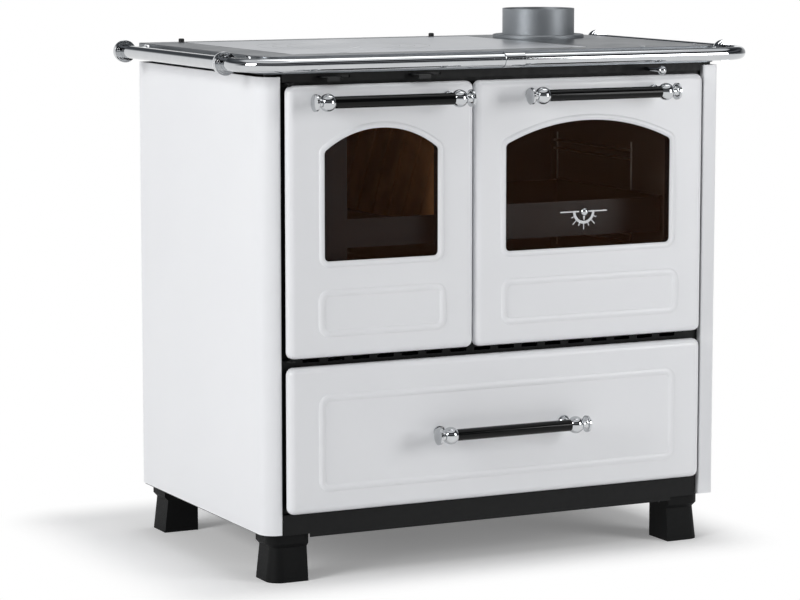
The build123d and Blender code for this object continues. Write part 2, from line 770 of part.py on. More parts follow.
def crossbar_top():
    """The folded bar above the doors, slotted for the air slide's two tabs."""
    side = half_body - panel_lip - 2.0
    y0, z0 = front + 4.0, door_top + 5.0
    bar = block(-side, side, y0, y0 + liner_sheet, z0, rim_bottom)
    bar += block(-side, side, y0, frame_front, z0, z0 + liner_sheet)
    for x in air_tab_centres():
        bar -= block(x - air_tab_width / 2 - 1.0, x + air_tab_width / 2 + air_travel + 1.0,
                     y0 - 1, y0 + liner_sheet + 1, rim_bottom - 8.0, rim_bottom - 4.0)
    return bar - round_y(damper_axis_x, y0 - 1, frame_front, damper_z, damper_rod_radius + running_gap)


def air_slider():
    """A strip behind the crossbar that covers the air slots, with two bent finger tabs."""
    left, right = air_tab_centres()
    y0 = front + 4.0 + liner_sheet + body_gap
    z0, z1 = rim_bottom - 11.0, rim_bottom - 1.0
    strip = block(left - 40.0, right + 40.0, y0, y0 + liner_sheet, z0, z1)
    for x in (left, right):
        half = air_tab_width / 2
        tip = front - air_tab_reach
        tab = block(x - half, x + half, tip, y0, rim_bottom - 7.0, rim_bottom - 5.0)
        tab = chamfer(tab.edges().filter_by(Axis.Z).sort_by(Axis.Y)[:2], 7.0)
        tab += block(x - half + 7.0, x + half - 7.0, tip, tip + liner_sheet,
                     rim_bottom - 13.0, rim_bottom - 5.0)
        strip += tab
    return strip


def damper_knob():
    """The ball and its tapered neck on the damper rod."""
    centre = front - damper_reach
    neck_radius = damper_rod_radius + 1.0
    neck_x = sqrt(damper_knob_radius ** 2 - neck_radius ** 2)
    profile = [
        ThreePointArc((-damper_knob_radius, 0), (0, damper_knob_radius), (neck_x, neck_radius)),
        Line((neck_x, neck_radius), (damper_neck_length, damper_rod_radius)),
        Line((damper_neck_length, damper_rod_radius), (damper_neck_length, 0)),
        Line((damper_neck_length, 0), (-damper_knob_radius, 0)),
    ]
    knob = revolve(make_face(profile), axis=Axis.X)
    return Pos(damper_axis_x, centre, damper_z) * Rot(0, 0, 90) * knob


def damper_rod():
    return round_y(damper_axis_x, front - damper_reach + damper_neck_length, damper_plate_y, damper_z,
                   damper_rod_radius)


def damper_plate():
    """The flap that closes the direct way to the flue."""
    half = damper_plate_width / 2
    return block(damper_axis_x - half, damper_axis_x + half,
                 damper_plate_y, damper_plate_y + damper_plate_length,
                 damper_z - casing_sheet / 2, damper_z + casing_sheet / 2)


def damper_duct():
    """The short duct on top of the oven that the flap closes, open to the front."""
    y0 = damper_plate_y + damper_lap
    y1 = damper_plate_y + damper_plate_length - 2 * damper_lap
    half = damper_plate_width / 2 - damper_lap
    z0 = door_top - oven_box_high
    z1 = damper_z - casing_sheet / 2 - body_gap
    duct = block(damper_axis_x - half, damper_axis_x + half, y0, y1, z0, z1)
    duct -= block(damper_axis_x - half + 10.0, damper_axis_x + half - 10.0, y0 - 1, y0 + casing_sheet + 1,
                  z0 + 4.0, z1 - 4.0)
    return duct - block(damper_axis_x - half + casing_sheet, damper_axis_x + half - casing_sheet,
                        y0 + casing_sheet, y1 - casing_sheet, z0 - 1, z1 + 1)


# ---------------------------------------------------------------- fire door
def fire_door_centre():
    return (fire_left + fire_right) / 2


def fire_window():
    """The middle and the width of the fire door's window."""
    left, right = fire_left + fire_window_left, fire_right - fire_window_right
    return (left + right) / 2, right - left


def fire_pin_holes(radius):
    """The two hinge pin holes in the door's top and bottom edges."""
    low = round_z(fire_axis_x, fire_axis_y, door_bottom - 1, door_bottom + hinge_pin_length, radius)
    high = round_z(fire_axis_x, fire_axis_y, door_top - hinge_pin_length, door_top + 1, radius)
    return low + high


def fire_door_skin():
    skin = door_skin(fire_left, fire_right, *fire_window(), bead_margin)
    return skin - fire_pin_holes(hinge_pin_radius + running_gap)


def fire_door_liner():
    """The liner with a boss round each hinge pin."""
    liner = door_liner(fire_left, fire_right, *fire_window())
    low, high = door_bottom + hinge_boss_start, door_top - hinge_boss_start
    boss_length, boss = hinge_pin_length - hinge_boss_start, hinge_pin_radius + hinge_wall
    for z0, z1 in ((low, low + boss_length), (high - boss_length, high)):
        liner += round_z(fire_axis_x, fire_axis_y, z0, z1, boss)
        liner += block(fire_axis_x - boss, fire_axis_x + boss,
                       fire_axis_y, front + liner_step + 1.0, z0, z1)
    return liner - fire_pin_holes(hinge_pin_radius + running_gap)


def fire_door_hinges():
    """Two lugs on the front frame, each with its pin, above and below the door."""
    thickness, half = 3.0, hinge_pin_radius + 4.0

    def lug(z0, pin_z0, pin_z1):
        arm = block(fire_axis_x - half, fire_axis_x + half, fire_axis_y, frame_front, z0, z0 + thickness)
        arm += round_z(fire_axis_x, fire_axis_y, z0, z0 + thickness, half)
        return arm + round_z(fire_axis_x, fire_axis_y, pin_z0, pin_z1, hinge_pin_radius)
    reach = hinge_pin_length - 1.0
    low = lug(door_bottom - 5.0, door_bottom - 4.0, door_bottom + reach)
    high = lug(door_top + 1.5, door_top - reach, door_top + 1.5 + thickness / 2)
    return group(low, high)


def fire_door_gasket():
    """The rope goes round the window, which reaches further left than the openings behind it."""
    _, x1, _, z1 = fire_opening()
    return door_gasket(fire_left + fire_opening_right, x1, ash_opening()[2], z1)


# ---------------------------------------------------------------- oven door
def oven_door_centre():
    return (oven_left + oven_right) / 2


def oven_window():
    """The middle and the width of the oven door's window."""
    left, right = oven_left + oven_window_left, oven_right - oven_window_right
    return (left + right) / 2, right - left


def oven_hinge_places():
    return oven_left + oven_hinge_inset, oven_right - oven_hinge_inset


def oven_door_skin():
    return door_skin(oven_left, oven_right, *oven_window(), oven_bead_margin)


def oven_door_liner():
    """The liner, notched round the hinge lugs, with an ear each side of each notch."""
    liner = door_liner(oven_left, oven_right, *oven_window())
    notch = hinge_lug / 2 + hinge_play
    reach = notch + hinge_ear
    ear_front = oven_axis_y - hinge_pin_radius - hinge_play
    ear_low, ear_high = oven_axis_z - hinge_pin_radius - 0.5, oven_axis_z + 2 * hinge_pin_radius
    for x in oven_hinge_places():
        liner += block(x - reach, x + reach, ear_front, front + liner_step + 1.0, ear_low, ear_high)
        liner -= block(x - notch, x + notch, ear_front - 1.5, frame_front, door_bottom - 1, ear_high + 0.5)
        liner -= round_x(x - reach - 1, x + reach + 1, oven_axis_y, oven_axis_z,
                         hinge_pin_radius + running_gap)
    return liner


def oven_door_pins():
    reach = hinge_lug / 2 + hinge_play + hinge_ear
    return group(*[round_x(x - reach, x + reach, oven_axis_y, oven_axis_z, hinge_pin_radius)
                   for x in oven_hinge_places()])


def oven_door_hinges():
    """Two lugs on the front frame that carry the drop-down door's pins."""
    half = hinge_pin_radius + 1.5

    def lug(x):
        arm = block(x - hinge_lug / 2, x + hinge_lug / 2, oven_axis_y, frame_front,
                    oven_axis_z - half, oven_axis_z + half)
        arm += round_x(x - hinge_lug / 2, x + hinge_lug / 2, oven_axis_y, oven_axis_z, half)
        return arm - round_x(x - hinge_lug, x + hinge_lug, oven_axis_y, oven_axis_z,
                             hinge_pin_radius + running_gap)
    return group(*[lug(x) for x in oven_hinge_places()])


def oven_door_glass():
    x, z = thermometer_centre()
    return door_glass(*oven_window()) - round_y(x, face, front, z, spindle_radius + running_gap)


def thermometer_centre():
    return oven_window()[0] - dial_left, door_bottom + window_low + dial_rise


def thermometer_dial():
    """A half ring with rays below a level bar, fixed to the glass."""
    x, z = thermometer_centre()
    y1 = face + panel_sheet
    y0 = y1 - dial_thickness
    half_ring = round_y(x, y0, y1, z, dial_outer) - round_y(x, y0 - 1, y1 + 1, z, dial_inner)
    half_ring -= block(x - dial_outer - 1, x + dial_outer + 1, y0 - 1, y1 + 1, z, z + dial_outer + 1)
    dial = half_ring
    for way in (-1, 1):
        inner, outer = sorted((way * (hub_radius + 1.5), way * bar_reach))
        dial += block(x + inner, x + outer, y0, y1, z - 0.8, z + 1.2)
    for step in range(1, 8):
        angle = radians(180 + step * 22.5)
        reach = tick_reach if step % 2 == 0 else tick_reach - 4.0
        middle = (dial_outer - 1 + reach) / 2
        ray = Pos(x + middle * cos(angle), (y0 + y1) / 2, z + middle * sin(angle)) * Rot(
            0, 180 - step * 22.5, 0) * Box(reach - dial_outer + 1, dial_thickness, 1.6)
        dial += ray
    return dial


def thermometer_pointer():
    """The domed hub, its drop-shaped needle and the spindle through the glass."""
    x, z = thermometer_centre()
    y1 = face + panel_sheet - body_gap - dial_thickness
    dome = Pos(x, y1, z) * Sphere(hub_radius)
    dome -= block(x - 9, x + 9, y1, y1 + 9, z - 9, z + 9)
    needle_low = z - dial_inner + 1.5
    needle = block(x - 1.4, x + 1.4, y1 - 1.2, y1, needle_low, z)
    spindle = round_y(x, y1 - 1, face + panel_sheet + glass_thickness + 3.0, z, spindle_radius)
    return dome + needle + spindle


# ---------------------------------------------------------------- drawer
def drawer_front():
    skin = pressed_pan(-half_front, half_front, drawer_bottom, drawer_top)
    return skin + bead(-half_front + bead_margin, half_front - bead_margin,
                       drawer_bottom + drawer_bead_low, drawer_top - drawer_bead_high)


def drawer_limits():
    side = half_front - drawer_opening_margin - drawer_side_gap
    return side, drawer_bottom + drawer_low_gap, drawer_top - drawer_high_gap


def drawer_box():
    """The folded wood box behind the drawer front, open at the top."""
    side, z0, z1 = drawer_limits()
    rim = panel_sheet / 2
    outline = rounded_outline(-half_front + rim, half_front - rim, drawer_bottom + rim, drawer_top - rim,
                              pan_corner - rim)
    box = upright_plate(outline, front, front + liner_sheet)
    y1 = back - drawer_rear
    box += block(-side, side, front, y1, z0, z1)
    return box - block(-side + liner_sheet, side - liner_sheet, front + liner_sheet, y1 - liner_sheet,
                       z0 + liner_sheet, z1 + 1)


def drawer_runners():
    """Two square tubes on the base plate that the wood box slides on."""
    side, z0, _ = drawer_limits()
    x = side - runner_inset
    half = runner_width / 2
    runner = block(x - half, x + half, frame_back, back_sheet, base_top, z0 - body_gap)
    return group(runner, mirrored(runner))


# ---------------------------------------------------------------- fire chamber and oven
def casing_limits():
    """The casing's right wall puts the lining's face level with the side of the fire opening."""
    wall = casing_sheet + lining_thickness
    return (fire_left + casing_left, fire_right - fire_opening_right + wall,
            frame_back, back - chamber_rear,
            door_bottom + ash_opening_low - casing_sheet - 2.0, worktop_height - top_plate - 2.0)


def firebox_casing():
    """The welded casing: ash space below, fire chamber above, open to the front and the top."""
    x0, x1, y0, y1, z0, z1 = casing_limits()
    t = casing_sheet
    level = door_bottom + grate_level
    casing = block(x0, x1, y0, y1, z0, z1)
    casing -= block(x0 + t, x1 - t, y0 - 1, y1 - t, z0 + t, level - t)
    casing -= block(x0 + t, x1 - t, y0 - 1, y1 - t, level, z1 + 1)
    gx0, gx1, gy0, gy1 = grate_limits()
    ledge = 8.0
    return casing - block(gx0 + ledge, gx1 - ledge, gy0 + ledge, gy1 - ledge, level - t - 1, level + 1)


def chamber_limits():
    x0, x1, y0, y1, _, _ = casing_limits()
    wall = casing_sheet + lining_thickness
    return x0 + wall, x1 - wall, y0, y1 - wall


def grate_limits():
    x0, x1, y0, y1 = chamber_limits()
    return x0 + 4.0, x1 - 4.0, y0 + 40.0, y1 - 40.0


def firebox_lining():
    """Three refractory slabs; the side slabs have slanted flutes towards the fire."""
    cx0, cx1 = casing_limits()[:2]
    x0, x1, y0, y1 = chamber_limits()
    z0 = door_bottom + grate_level
    z1 = door_top - 12.0
    left = block(cx0 + casing_sheet, x0, y0, y1, z0, z1)
    right = block(x1, cx1 - casing_sheet, y0, y1, z0, z1)
    rear = block(cx0 + casing_sheet, cx1 - casing_sheet, y1, y1 + lining_thickness, z0, z1)
    lean = (z1 - z0) * tan(radians(flute_slant))
    flute = Rot(flute_slant, 0, 0) * Box(2 * flute_depth, flute_width, 2 * (z1 - z0))
    for index in range(int((y1 - y0 + lean) // flute_pitch)):
        y = y0 + (index + 0.5) * flute_pitch - lean / 2
        left -= Pos(x0, y, (z0 + z1) / 2) * flute
        right -= Pos(x1, y, (z0 + z1) / 2) * flute
    return group(left, right, rear)


def fire_grate():
    """The cast grate over the ash pan, with a row of long slots."""
    x0, x1, y0, y1 = grate_limits()
    level = door_bottom + grate_level
    grate = block(x0, x1, y0, y1, level, level + 10.0)
    pitch, slot = 20.0, 9.0
    count = int((y1 - y0 - 30.0) // pitch)
    for index in range(count):
        y = (y0 + y1) / 2 + (index - (count - 1) / 2) * pitch
        grate -= block(x0 + 15, x1 - 15, y - slot / 2, y + slot / 2, level - 1, level + 11)
    return grate


def ash_pan():
    """An open tray on the casing's floor."""
    x0, x1, z0, _ = ash_opening()
    floor = casing_limits()[4] + casing_sheet
    side, height, t = 6.0, 100.0, liner_sheet
    y0, y1 = frame_back + 2.0, back - chamber_rear - 60.0
    pan = block(x0 + side, x1 - side, y0, y1, floor, floor + height)
    return pan - block(x0 + side + t, x1 - side - t, y0 + t, y1 - t, floor + t, floor + height + 1)


def oven_limits():
    return (oven_left + oven_box_margin, oven_right - oven_box_margin, frame_back, back - oven_rear,
            door_bottom + oven_box_low, door_top - oven_box_high)


def oven_box():
    """The enamelled oven cavity, open to the front."""
    x0, x1, y0, y1, z0, z1 = oven_limits()
    t = liner_sheet
    box = block(x0, x1, y0, y1, z0, z1)
    return box - block(x0 + t, x1 - t, y0 - 1, y1 - t, z0 + t, z1 - t)


def guide_levels():
    """Heights of the lower wires: as many pairs as leave the top of the oven free."""
    room = oven_limits()[5] - liner_sheet - guide_top - (door_bottom + guide_low)
    return [door_bottom + guide_low + index * guide_pitch for index in range(int(room // guide_pitch) + 1)]


def guide_inset():
    """Oven wall's outer face to the axis of a runner wire, which is welded into its uprights."""
    return liner_sheet + guide_clear + 2 * guide_upright + guide_wire - 0.5


def oven_rack_guides():
    """A wire ladder on each side wall: two uprights and the pairs of runners."""
    x0, x1, oven_front, oven_back = oven_limits()[:4]
    y0, y1 = oven_front + guide_front, oven_back - 30.0
    levels = guide_levels()
    low, high = levels[0] - 30.0, levels[-1] + guide_pair + 15.0
    upright_inset = liner_sheet + guide_clear + guide_upright

    def ladder(x, way):
        runner_x = x + way * (guide_inset() - upright_inset)
        frame = round_z(x, y0, low, high, guide_upright) + round_z(x, y1, low, high, guide_upright)
        for level in levels:
            for z in (level, level + guide_pair):
                frame += round_y(runner_x, y0 - 6.0, y1 + 6.0, z, guide_wire)
        return frame
    return group(ladder(x0 + upright_inset, 1), ladder(x1 - upright_inset, -1))


def oven_tray():
    """A baking tray whose side rims rest on the middle runners."""
    x0, x1, oven_front, oven_back = oven_limits()[:4]
    inset = guide_inset() + guide_wire + 1.0
    levels = guide_levels()
    z1 = levels[len(levels) // 2] + guide_pair + guide_wire + guide_clear
    y0, y1 = oven_front + 50.0, oven_back - 40.0
    t = liner_sheet
    tray = block(x0 + inset, x1 - inset, y0, y1, z1 - tray_depth, z1)
    tray -= block(x0 + inset + t, x1 - inset - t, y0 + t, y1 - t, z1 - tray_depth + t, z1 + 1)
    reach = liner_sheet + guide_clear + 2 * guide_upright + 0.5
    for a, b in ((x0 + reach, x0 + inset + t), (x1 - inset - t, x1 - reach)):
        tray += block(a, b, y0, y1, z1, z1 + t)
    return tray


# ---------------------------------------------------------------- every node
def handle_nodes(name, centre, z):
    return {f"{name}_handle_rod": handle_rod(centre, z), f"{name}_handle_ends": handle_ends(centre, z)}


def all_nodes():
    right_rail, right_front, right_brackets = side_rail(), front_rail(), rail_brackets()
    ring_outer = ring_body(outer_ring_radius) - ring_seat(inner_ring_radius)
    ring_inner = ring_body(inner_ring_radius) - ring_seat(disc_radius)
    nodes = {
        "base_plate": base_plate(),
        "plinth_bar": plinth_bar(),
        "front_frame": front_frame(),
        "back_panel": back_panel(),
        "side_panel_left": mirrored(side_panel(panel_lip, front_radius)),
        "side_panel_right": side_panel(square_lip, square_radius),
        "feet_front": foot_pair(front + foot_front, 1, foot_width, foot_corner),
        "feet_rear": foot_pair(back - 1.0, -1, rear_foot_width, rear_foot_corner),
        "foot_screws": foot_screws(),
        "top_frame": top_frame(),
        "hob_plate": hob_plate(),
        "hob_ring_outer": ring_outer,
        "hob_ring_inner": ring_inner,
        "hob_centre_disc": centre_disc(),
        "flue_collar": flue_collar(),
        "rear_caps": rear_caps(),
        "top_screws": top_screws(),
        "rail_side_left": mirrored(right_rail),
        "rail_side_right": right_rail,
        "rail_front_left": mirrored(right_front),
        "rail_front_right": right_front,
        "rail_sleeve": rail_sleeve(),
        "rail_brackets_left": mirrored(right_brackets),
        "rail_brackets_right": right_brackets,
        "crossbar_top": crossbar_top(),
        "air_slider": air_slider(),
        "damper_knob": damper_knob(),
        "damper_rod": damper_rod(),
        "damper_plate": damper_plate(),
        "damper_duct": damper_duct(),
        "fire_door_skin": fire_door_skin(),
        "fire_door_liner": fire_door_liner(),
        "fire_door_glass": door_glass(*fire_window()),
        "fire_door_gasket": fire_door_gasket(),
        "fire_door_hinges": fire_door_hinges(),
        "oven_door_skin": oven_door_skin(),
        "oven_door_liner": oven_door_liner(),
        "oven_door_glass": oven_door_glass(),
        "oven_door_gasket": door_gasket(*oven_opening()),
        "oven_door_pins": oven_door_pins(),
        "oven_door_hinges": oven_door_hinges(),
        "thermometer_dial": thermometer_dial(),
        "thermometer_pointer": thermometer_pointer(),
        "drawer_front": drawer_front(),
        "drawer_box": drawer_box(),
        "drawer_runners": drawer_runners(),
        "firebox_casing": firebox_casing(),
        "firebox_lining": firebox_lining(),
        "fire_grate": fire_grate(),
        "ash_pan": ash_pan(),
        "oven_box": oven_box(),
        "oven_rack_guides": oven_rack_guides(),
        "oven_tray": oven_tray(),
    }
    handle_z = door_top - handle_drop
    nodes |= handle_nodes("fire_door", fire_door_centre(), handle_z)
    nodes |= handle_nodes("oven_door", oven_door_centre(), handle_z)
    nodes |= handle_nodes("drawer", 0.0, drawer_top - drawer_handle_drop)
    return nodes


def main():
    os.makedirs("parts", exist_ok=True)
    for name, shape in all_nodes().items():
        export_step(shape, f"parts/{name}.step")
        print(name, len(shape.solids()), round(shape.volume))


main()
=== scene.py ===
import json
from math import cos, pi, radians, sin

import bpy
import numpy as np
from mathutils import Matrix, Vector


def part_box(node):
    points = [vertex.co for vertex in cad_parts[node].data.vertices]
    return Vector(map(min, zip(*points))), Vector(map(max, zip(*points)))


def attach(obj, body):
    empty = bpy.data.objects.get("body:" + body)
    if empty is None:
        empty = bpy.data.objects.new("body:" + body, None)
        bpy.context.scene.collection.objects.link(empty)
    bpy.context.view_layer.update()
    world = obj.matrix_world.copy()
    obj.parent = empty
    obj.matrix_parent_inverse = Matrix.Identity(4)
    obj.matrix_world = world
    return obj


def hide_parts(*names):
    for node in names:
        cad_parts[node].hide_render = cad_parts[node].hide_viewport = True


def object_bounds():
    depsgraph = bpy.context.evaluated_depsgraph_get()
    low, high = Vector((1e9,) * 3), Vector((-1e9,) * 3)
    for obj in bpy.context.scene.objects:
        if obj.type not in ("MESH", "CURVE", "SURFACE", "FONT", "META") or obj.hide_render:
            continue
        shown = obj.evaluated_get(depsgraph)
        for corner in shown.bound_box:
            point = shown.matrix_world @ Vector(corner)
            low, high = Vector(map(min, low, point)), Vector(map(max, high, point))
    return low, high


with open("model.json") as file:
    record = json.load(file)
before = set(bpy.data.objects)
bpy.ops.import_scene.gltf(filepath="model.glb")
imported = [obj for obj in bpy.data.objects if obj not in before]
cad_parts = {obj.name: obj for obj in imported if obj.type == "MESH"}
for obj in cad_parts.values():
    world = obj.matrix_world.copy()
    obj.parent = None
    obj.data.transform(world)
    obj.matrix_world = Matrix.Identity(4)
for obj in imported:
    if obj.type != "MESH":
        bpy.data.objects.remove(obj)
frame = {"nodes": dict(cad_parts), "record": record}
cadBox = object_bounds()
nodes = frame["nodes"]
print("frame loaded,", len(nodes), "nodes")


# small helpers

def toLinear(hexColour):
    # an sRGB hex colour as linear red, green, blue and alpha
    parts = [int(hexColour[i:i + 2], 16) / 255 for i in (1, 3, 5)]
    return tuple(c / 12.92 if c <= 0.04045 else ((c + 0.055) / 1.055) ** 2.4 for c in parts) + (1.0,)


def addNode(tree, kind, inputs=None, **settings):
    # one shader node with its settings and links; an input is given a number, a colour, an output
    # or another node, which stands for its first live output
    node = tree.nodes.new("ShaderNode" + kind)
    for name, value in settings.items():
        setattr(node, name, value)
    for name, value in (inputs or {}).items():
        socket = [s for s in node.inputs if s.enabled and name in (s.name, s.identifier)][0]
        if isinstance(value, bpy.types.Node):
            value = [s for s in value.outputs if s.enabled][0]
        if isinstance(value, bpy.types.NodeSocket):
            tree.links.new(value, socket)
        else:
            socket.default_value = value
    return node


def pattern(place, sizeMm):
    # inputs of a texture whose cells are about this many millimetres across
    return {"Vector": place, "Scale": 1000.0 / sizeMm}


def shades(finish):
    # inputs of a mix between a finish's dark and light colour
    return {"A": toLinear(finish["dark"]), "B": toLinear(finish["light"])}


def noiseTo(pair):
    # inputs of a map range that stretches the usual run of a noise texture over a pair of values
    return {"From Min": 0.3, "From Max": 0.7, "To Min": pair[0], "To Max": pair[1]}


def startMaterial(name):
    material = bpy.data.materials.new(name)
    material.use_nodes = True
    material.node_tree.nodes.clear()
    place = addNode(material.node_tree, "TexCoord").outputs["Object"]
    return material, material.node_tree, place


white = (1.0, 1.0, 1.0, 1.0)
bevelSamples = 4  # rays at each point of a softened edge


# materials, each named for what the real one is

enamel = {"dark": "#E8E9EC", "light": "#EEEFF1", "driftMm": 260, "hazeMm": 90, "rough": (0.29, 0.34),
          "peelMm": 9, "peelDepthMm": 0.004}


def vitreousEnamel():
    # white glass fused on pressed steel: a clean gloss with a faint orange peel
    material, tree, place = startMaterial("whiteVitreousEnamel")
    drift = addNode(tree, "TexNoise", pattern(place, enamel["driftMm"]))
    tone = addNode(tree, "Mix", {"Factor": drift, **shades(enamel)}, data_type="RGBA")
    haze = addNode(tree, "TexNoise", pattern(place, enamel["hazeMm"]))
    rough = addNode(tree, "MapRange", {"Value": haze, **noiseTo(enamel["rough"])})
    peel = addNode(tree, "TexNoise", pattern(place, enamel["peelMm"]))
    bump = addNode(tree, "Bump", {"Height": peel, "Distance": enamel["peelDepthMm"] / 1000})
    shader = addNode(tree, "BsdfPrincipled", {"Base Color": tone, "Roughness": rough, "Normal": bump})
    addNode(tree, "OutputMaterial", {"Surface": shader})
    return material


blackCoat = {"dark": "#08090A", "light": "#0E0F10", "driftMm": 60, "hazeMm": 12, "rough": (0.42, 0.55),
             "grainMm": 0.9, "grainDepthMm": 0.01, "edgeMm": 0.4, "gloss": 0.22}
# the tabs' coat is the bar's black made a touch lighter: a painted highlight, as if their edges caught
# the light
tabCoatPaintedHighlight = {"dark": "#0C0D0E", "light": "#131416", "driftMm": 20, "hazeMm": 8, "rough": (0.32, 0.42),
           "grainMm": 0.9, "grainDepthMm": 0.01, "edgeMm": 0.5, "gloss": 0.35}
trayCoat = {"dark": "#15110E", "light": "#1F1A16", "driftMm": 50, "hazeMm": 20, "rough": (0.30, 0.38),
            "grainMm": 1.5, "grainDepthMm": 0.005, "edgeMm": 0.6, "gloss": 0.35}


def bakedCoat(name, finish):
    # a coat baked on folded or pressed sheet: satin, with a fine leathery grain that is drawn about
    # twice as coarse as it is
    material, tree, place = startMaterial(name)
    drift = addNode(tree, "TexNoise", pattern(place, finish["driftMm"]))
    tone = addNode(tree, "Mix", {"Factor": drift, **shades(finish)}, data_type="RGBA")
    haze = addNode(tree, "TexNoise", pattern(place, finish["hazeMm"]))
    rough = addNode(tree, "MapRange", {"Value": haze, **noiseTo(finish["rough"])})
    grain = addNode(tree, "TexNoise", pattern(place, finish["grainMm"]))
    edge = addNode(tree, "Bevel", {"Radius": finish["edgeMm"] / 1000}, samples=bevelSamples)
    bump = addNode(tree, "Bump", {"Height": grain, "Distance": finish["grainDepthMm"] / 1000,
                                  "Normal": edge})
    shader = addNode(tree, "BsdfPrincipled", {"Base Color": tone, "Roughness": rough, "Normal": bump,
                                              "Specular IOR Level": finish["gloss"]})
    addNode(tree, "OutputMaterial", {"Surface": shader})
    return material


def blackPowderCoat():
    # powder coat on the bars, front frame, base plate, hinges and door liners
    return bakedCoat("blackPowderCoat", blackCoat)


def blackTabCoatPaintedHighlight():
    # the air slide with its finger tabs over the fire door, a little smoother from handling; its coat is
    # a touch lighter than the bar's, a painted highlight that makes the tabs stand out
    return bakedCoat("blackTabCoatPaintedHighlight", tabCoatPaintedHighlight)


def blackTrayEnamel():
    # dark glossy enamel on the baking tray
    return bakedCoat("blackTrayEnamel", trayCoat)


casting = {"dark": "#050606", "light": "#0A0B0C", "driftMm": 25, "rough": (0.5, 0.68), "sandMm": 1.6,
           "sandDetail": 3.0, "sandDepthMm": 0.08, "edgeMm": 0.8, "gloss": 0.16}


def paintedCasting():
    # sand-cast iron under black stove paint: matte, with the mould's sand grain showing through
    material, tree, place = startMaterial("paintedSandCasting")
    drift = addNode(tree, "TexNoise", pattern(place, casting["driftMm"]))
    tone = addNode(tree, "Mix", {"Factor": drift, **shades(casting)}, data_type="RGBA")
    sand = addNode(tree, "TexNoise", {**pattern(place, casting["sandMm"]),
                                      "Detail": casting["sandDetail"]})
    rough = addNode(tree, "MapRange", {"Value": sand, **noiseTo(casting["rough"])})
    edge = addNode(tree, "Bevel", {"Radius": casting["edgeMm"] / 1000}, samples=bevelSamples)
    bump = addNode(tree, "Bump", {"Height": sand, "Distance": casting["sandDepthMm"] / 1000,
                                  "Normal": edge})
    shader = addNode(tree, "BsdfPrincipled", {"Base Color": tone, "Roughness": rough, "Normal": bump,
                                              "Specular IOR Level": casting["gloss"]})
    addNode(tree, "OutputMaterial", {"Surface": shader})
    return material


fireclay = {"dark": "#96602F", "light": "#CB9158", "soot": "#3A2414", "sootShare": 0.45,
            "sootFrom": (0.35, 0.65), "sootMm": 90, "sootDetail": 3.0, "grainMm": 2.5,
            "grainDetail": 4.0, "grainDepthMm": 0.15, "edgeMm": 0.8, "rough": 0.9}


def firedClay():
    # pressed and fired lining: dry, grainy brown with soot clouds
    material, tree, place = startMaterial("firedClayLining")
    grain = addNode(tree, "TexNoise", {**pattern(place, fireclay["grainMm"]),
                                       "Detail": fireclay["grainDetail"]})
    clay = addNode(tree, "Mix", {"Factor": grain, **shades(fireclay)}, data_type="RGBA")
    cloud = addNode(tree, "TexNoise", {**pattern(place, fireclay["sootMm"]),
                                       "Detail": fireclay["sootDetail"]})
    share = addNode(tree, "MapRange", {"Value": cloud, "From Min": fireclay["sootFrom"][0],
                                       "From Max": fireclay["sootFrom"][1],
                                       "To Max": fireclay["sootShare"]})
    sooty = addNode(tree, "Mix", {"Factor": share, "A": clay, "B": toLinear(fireclay["soot"])},
                    data_type="RGBA")
    edge = addNode(tree, "Bevel", {"Radius": fireclay["edgeMm"] / 1000}, samples=bevelSamples)
    bump = addNode(tree, "Bump", {"Height": grain, "Distance": fireclay["grainDepthMm"] / 1000,
                                  "Normal": edge})
    shader = addNode(tree, "BsdfPrincipled", {"Base Color": sooty, "Roughness": fireclay["rough"],
                                              "Normal": bump})
    addNode(tree, "OutputMaterial", {"Surface": shader})
    return material


spangle = {"dark": "#9EA3A6", "light": "#BABFC2", "cellMm": 12, "wanderMm": 10, "wanderShare": 0.02,
           "rough": (0.38, 0.6), "pitMm": 2, "pitDepthMm": 0.006, "metallic": 1.0}


def galvanisedSheet():
    # hot-dip zinc: flat crystals of slightly different grey, each with its own sheen
    material, tree, place = startMaterial("hotDipGalvanisedSheet")
    wander = addNode(tree, "TexNoise", pattern(place, spangle["wanderMm"]))
    bent = addNode(tree, "Mix", {"Factor": spangle["wanderShare"], "A": place,
                                 "B": wander.outputs["Color"]}, data_type="VECTOR")
    crystals = addNode(tree, "TexVoronoi", pattern(bent, spangle["cellMm"]))
    parts = addNode(tree, "SeparateColor", {"Color": crystals.outputs["Color"]})
    tone = addNode(tree, "Mix", {"Factor": parts.outputs["Red"], **shades(spangle)}, data_type="RGBA")
    rough = addNode(tree, "MapRange", {"Value": parts.outputs["Green"], "To Min": spangle["rough"][0],
                                       "To Max": spangle["rough"][1]})
    pits = addNode(tree, "TexNoise", pattern(place, spangle["pitMm"]))
    bump = addNode(tree, "Bump", {"Height": pits, "Distance": spangle["pitDepthMm"] / 1000})
    shader = addNode(tree, "BsdfPrincipled", {"Base Color": tone, "Roughness": rough,
                                              "Metallic": spangle["metallic"], "Normal": bump})
    addNode(tree, "OutputMaterial", {"Surface": shader})
    return material


millScale = {"dark": "#19130E", "light": "#2C211A", "rust": "#4A2E1A", "patchMm": 45, "patchDetail": 5.0,
             "bloomMm": 18, "bloomDetail": 6.0, "bloomFrom": (0.55, 0.75), "bloomShare": 0.7,
             "rough": (0.45, 0.7), "flakeMm": 1.5, "flakeDetail": 4.0, "flakeDepthMm": 0.02,
             "edgeMm": 0.5, "metallic": 0.3}


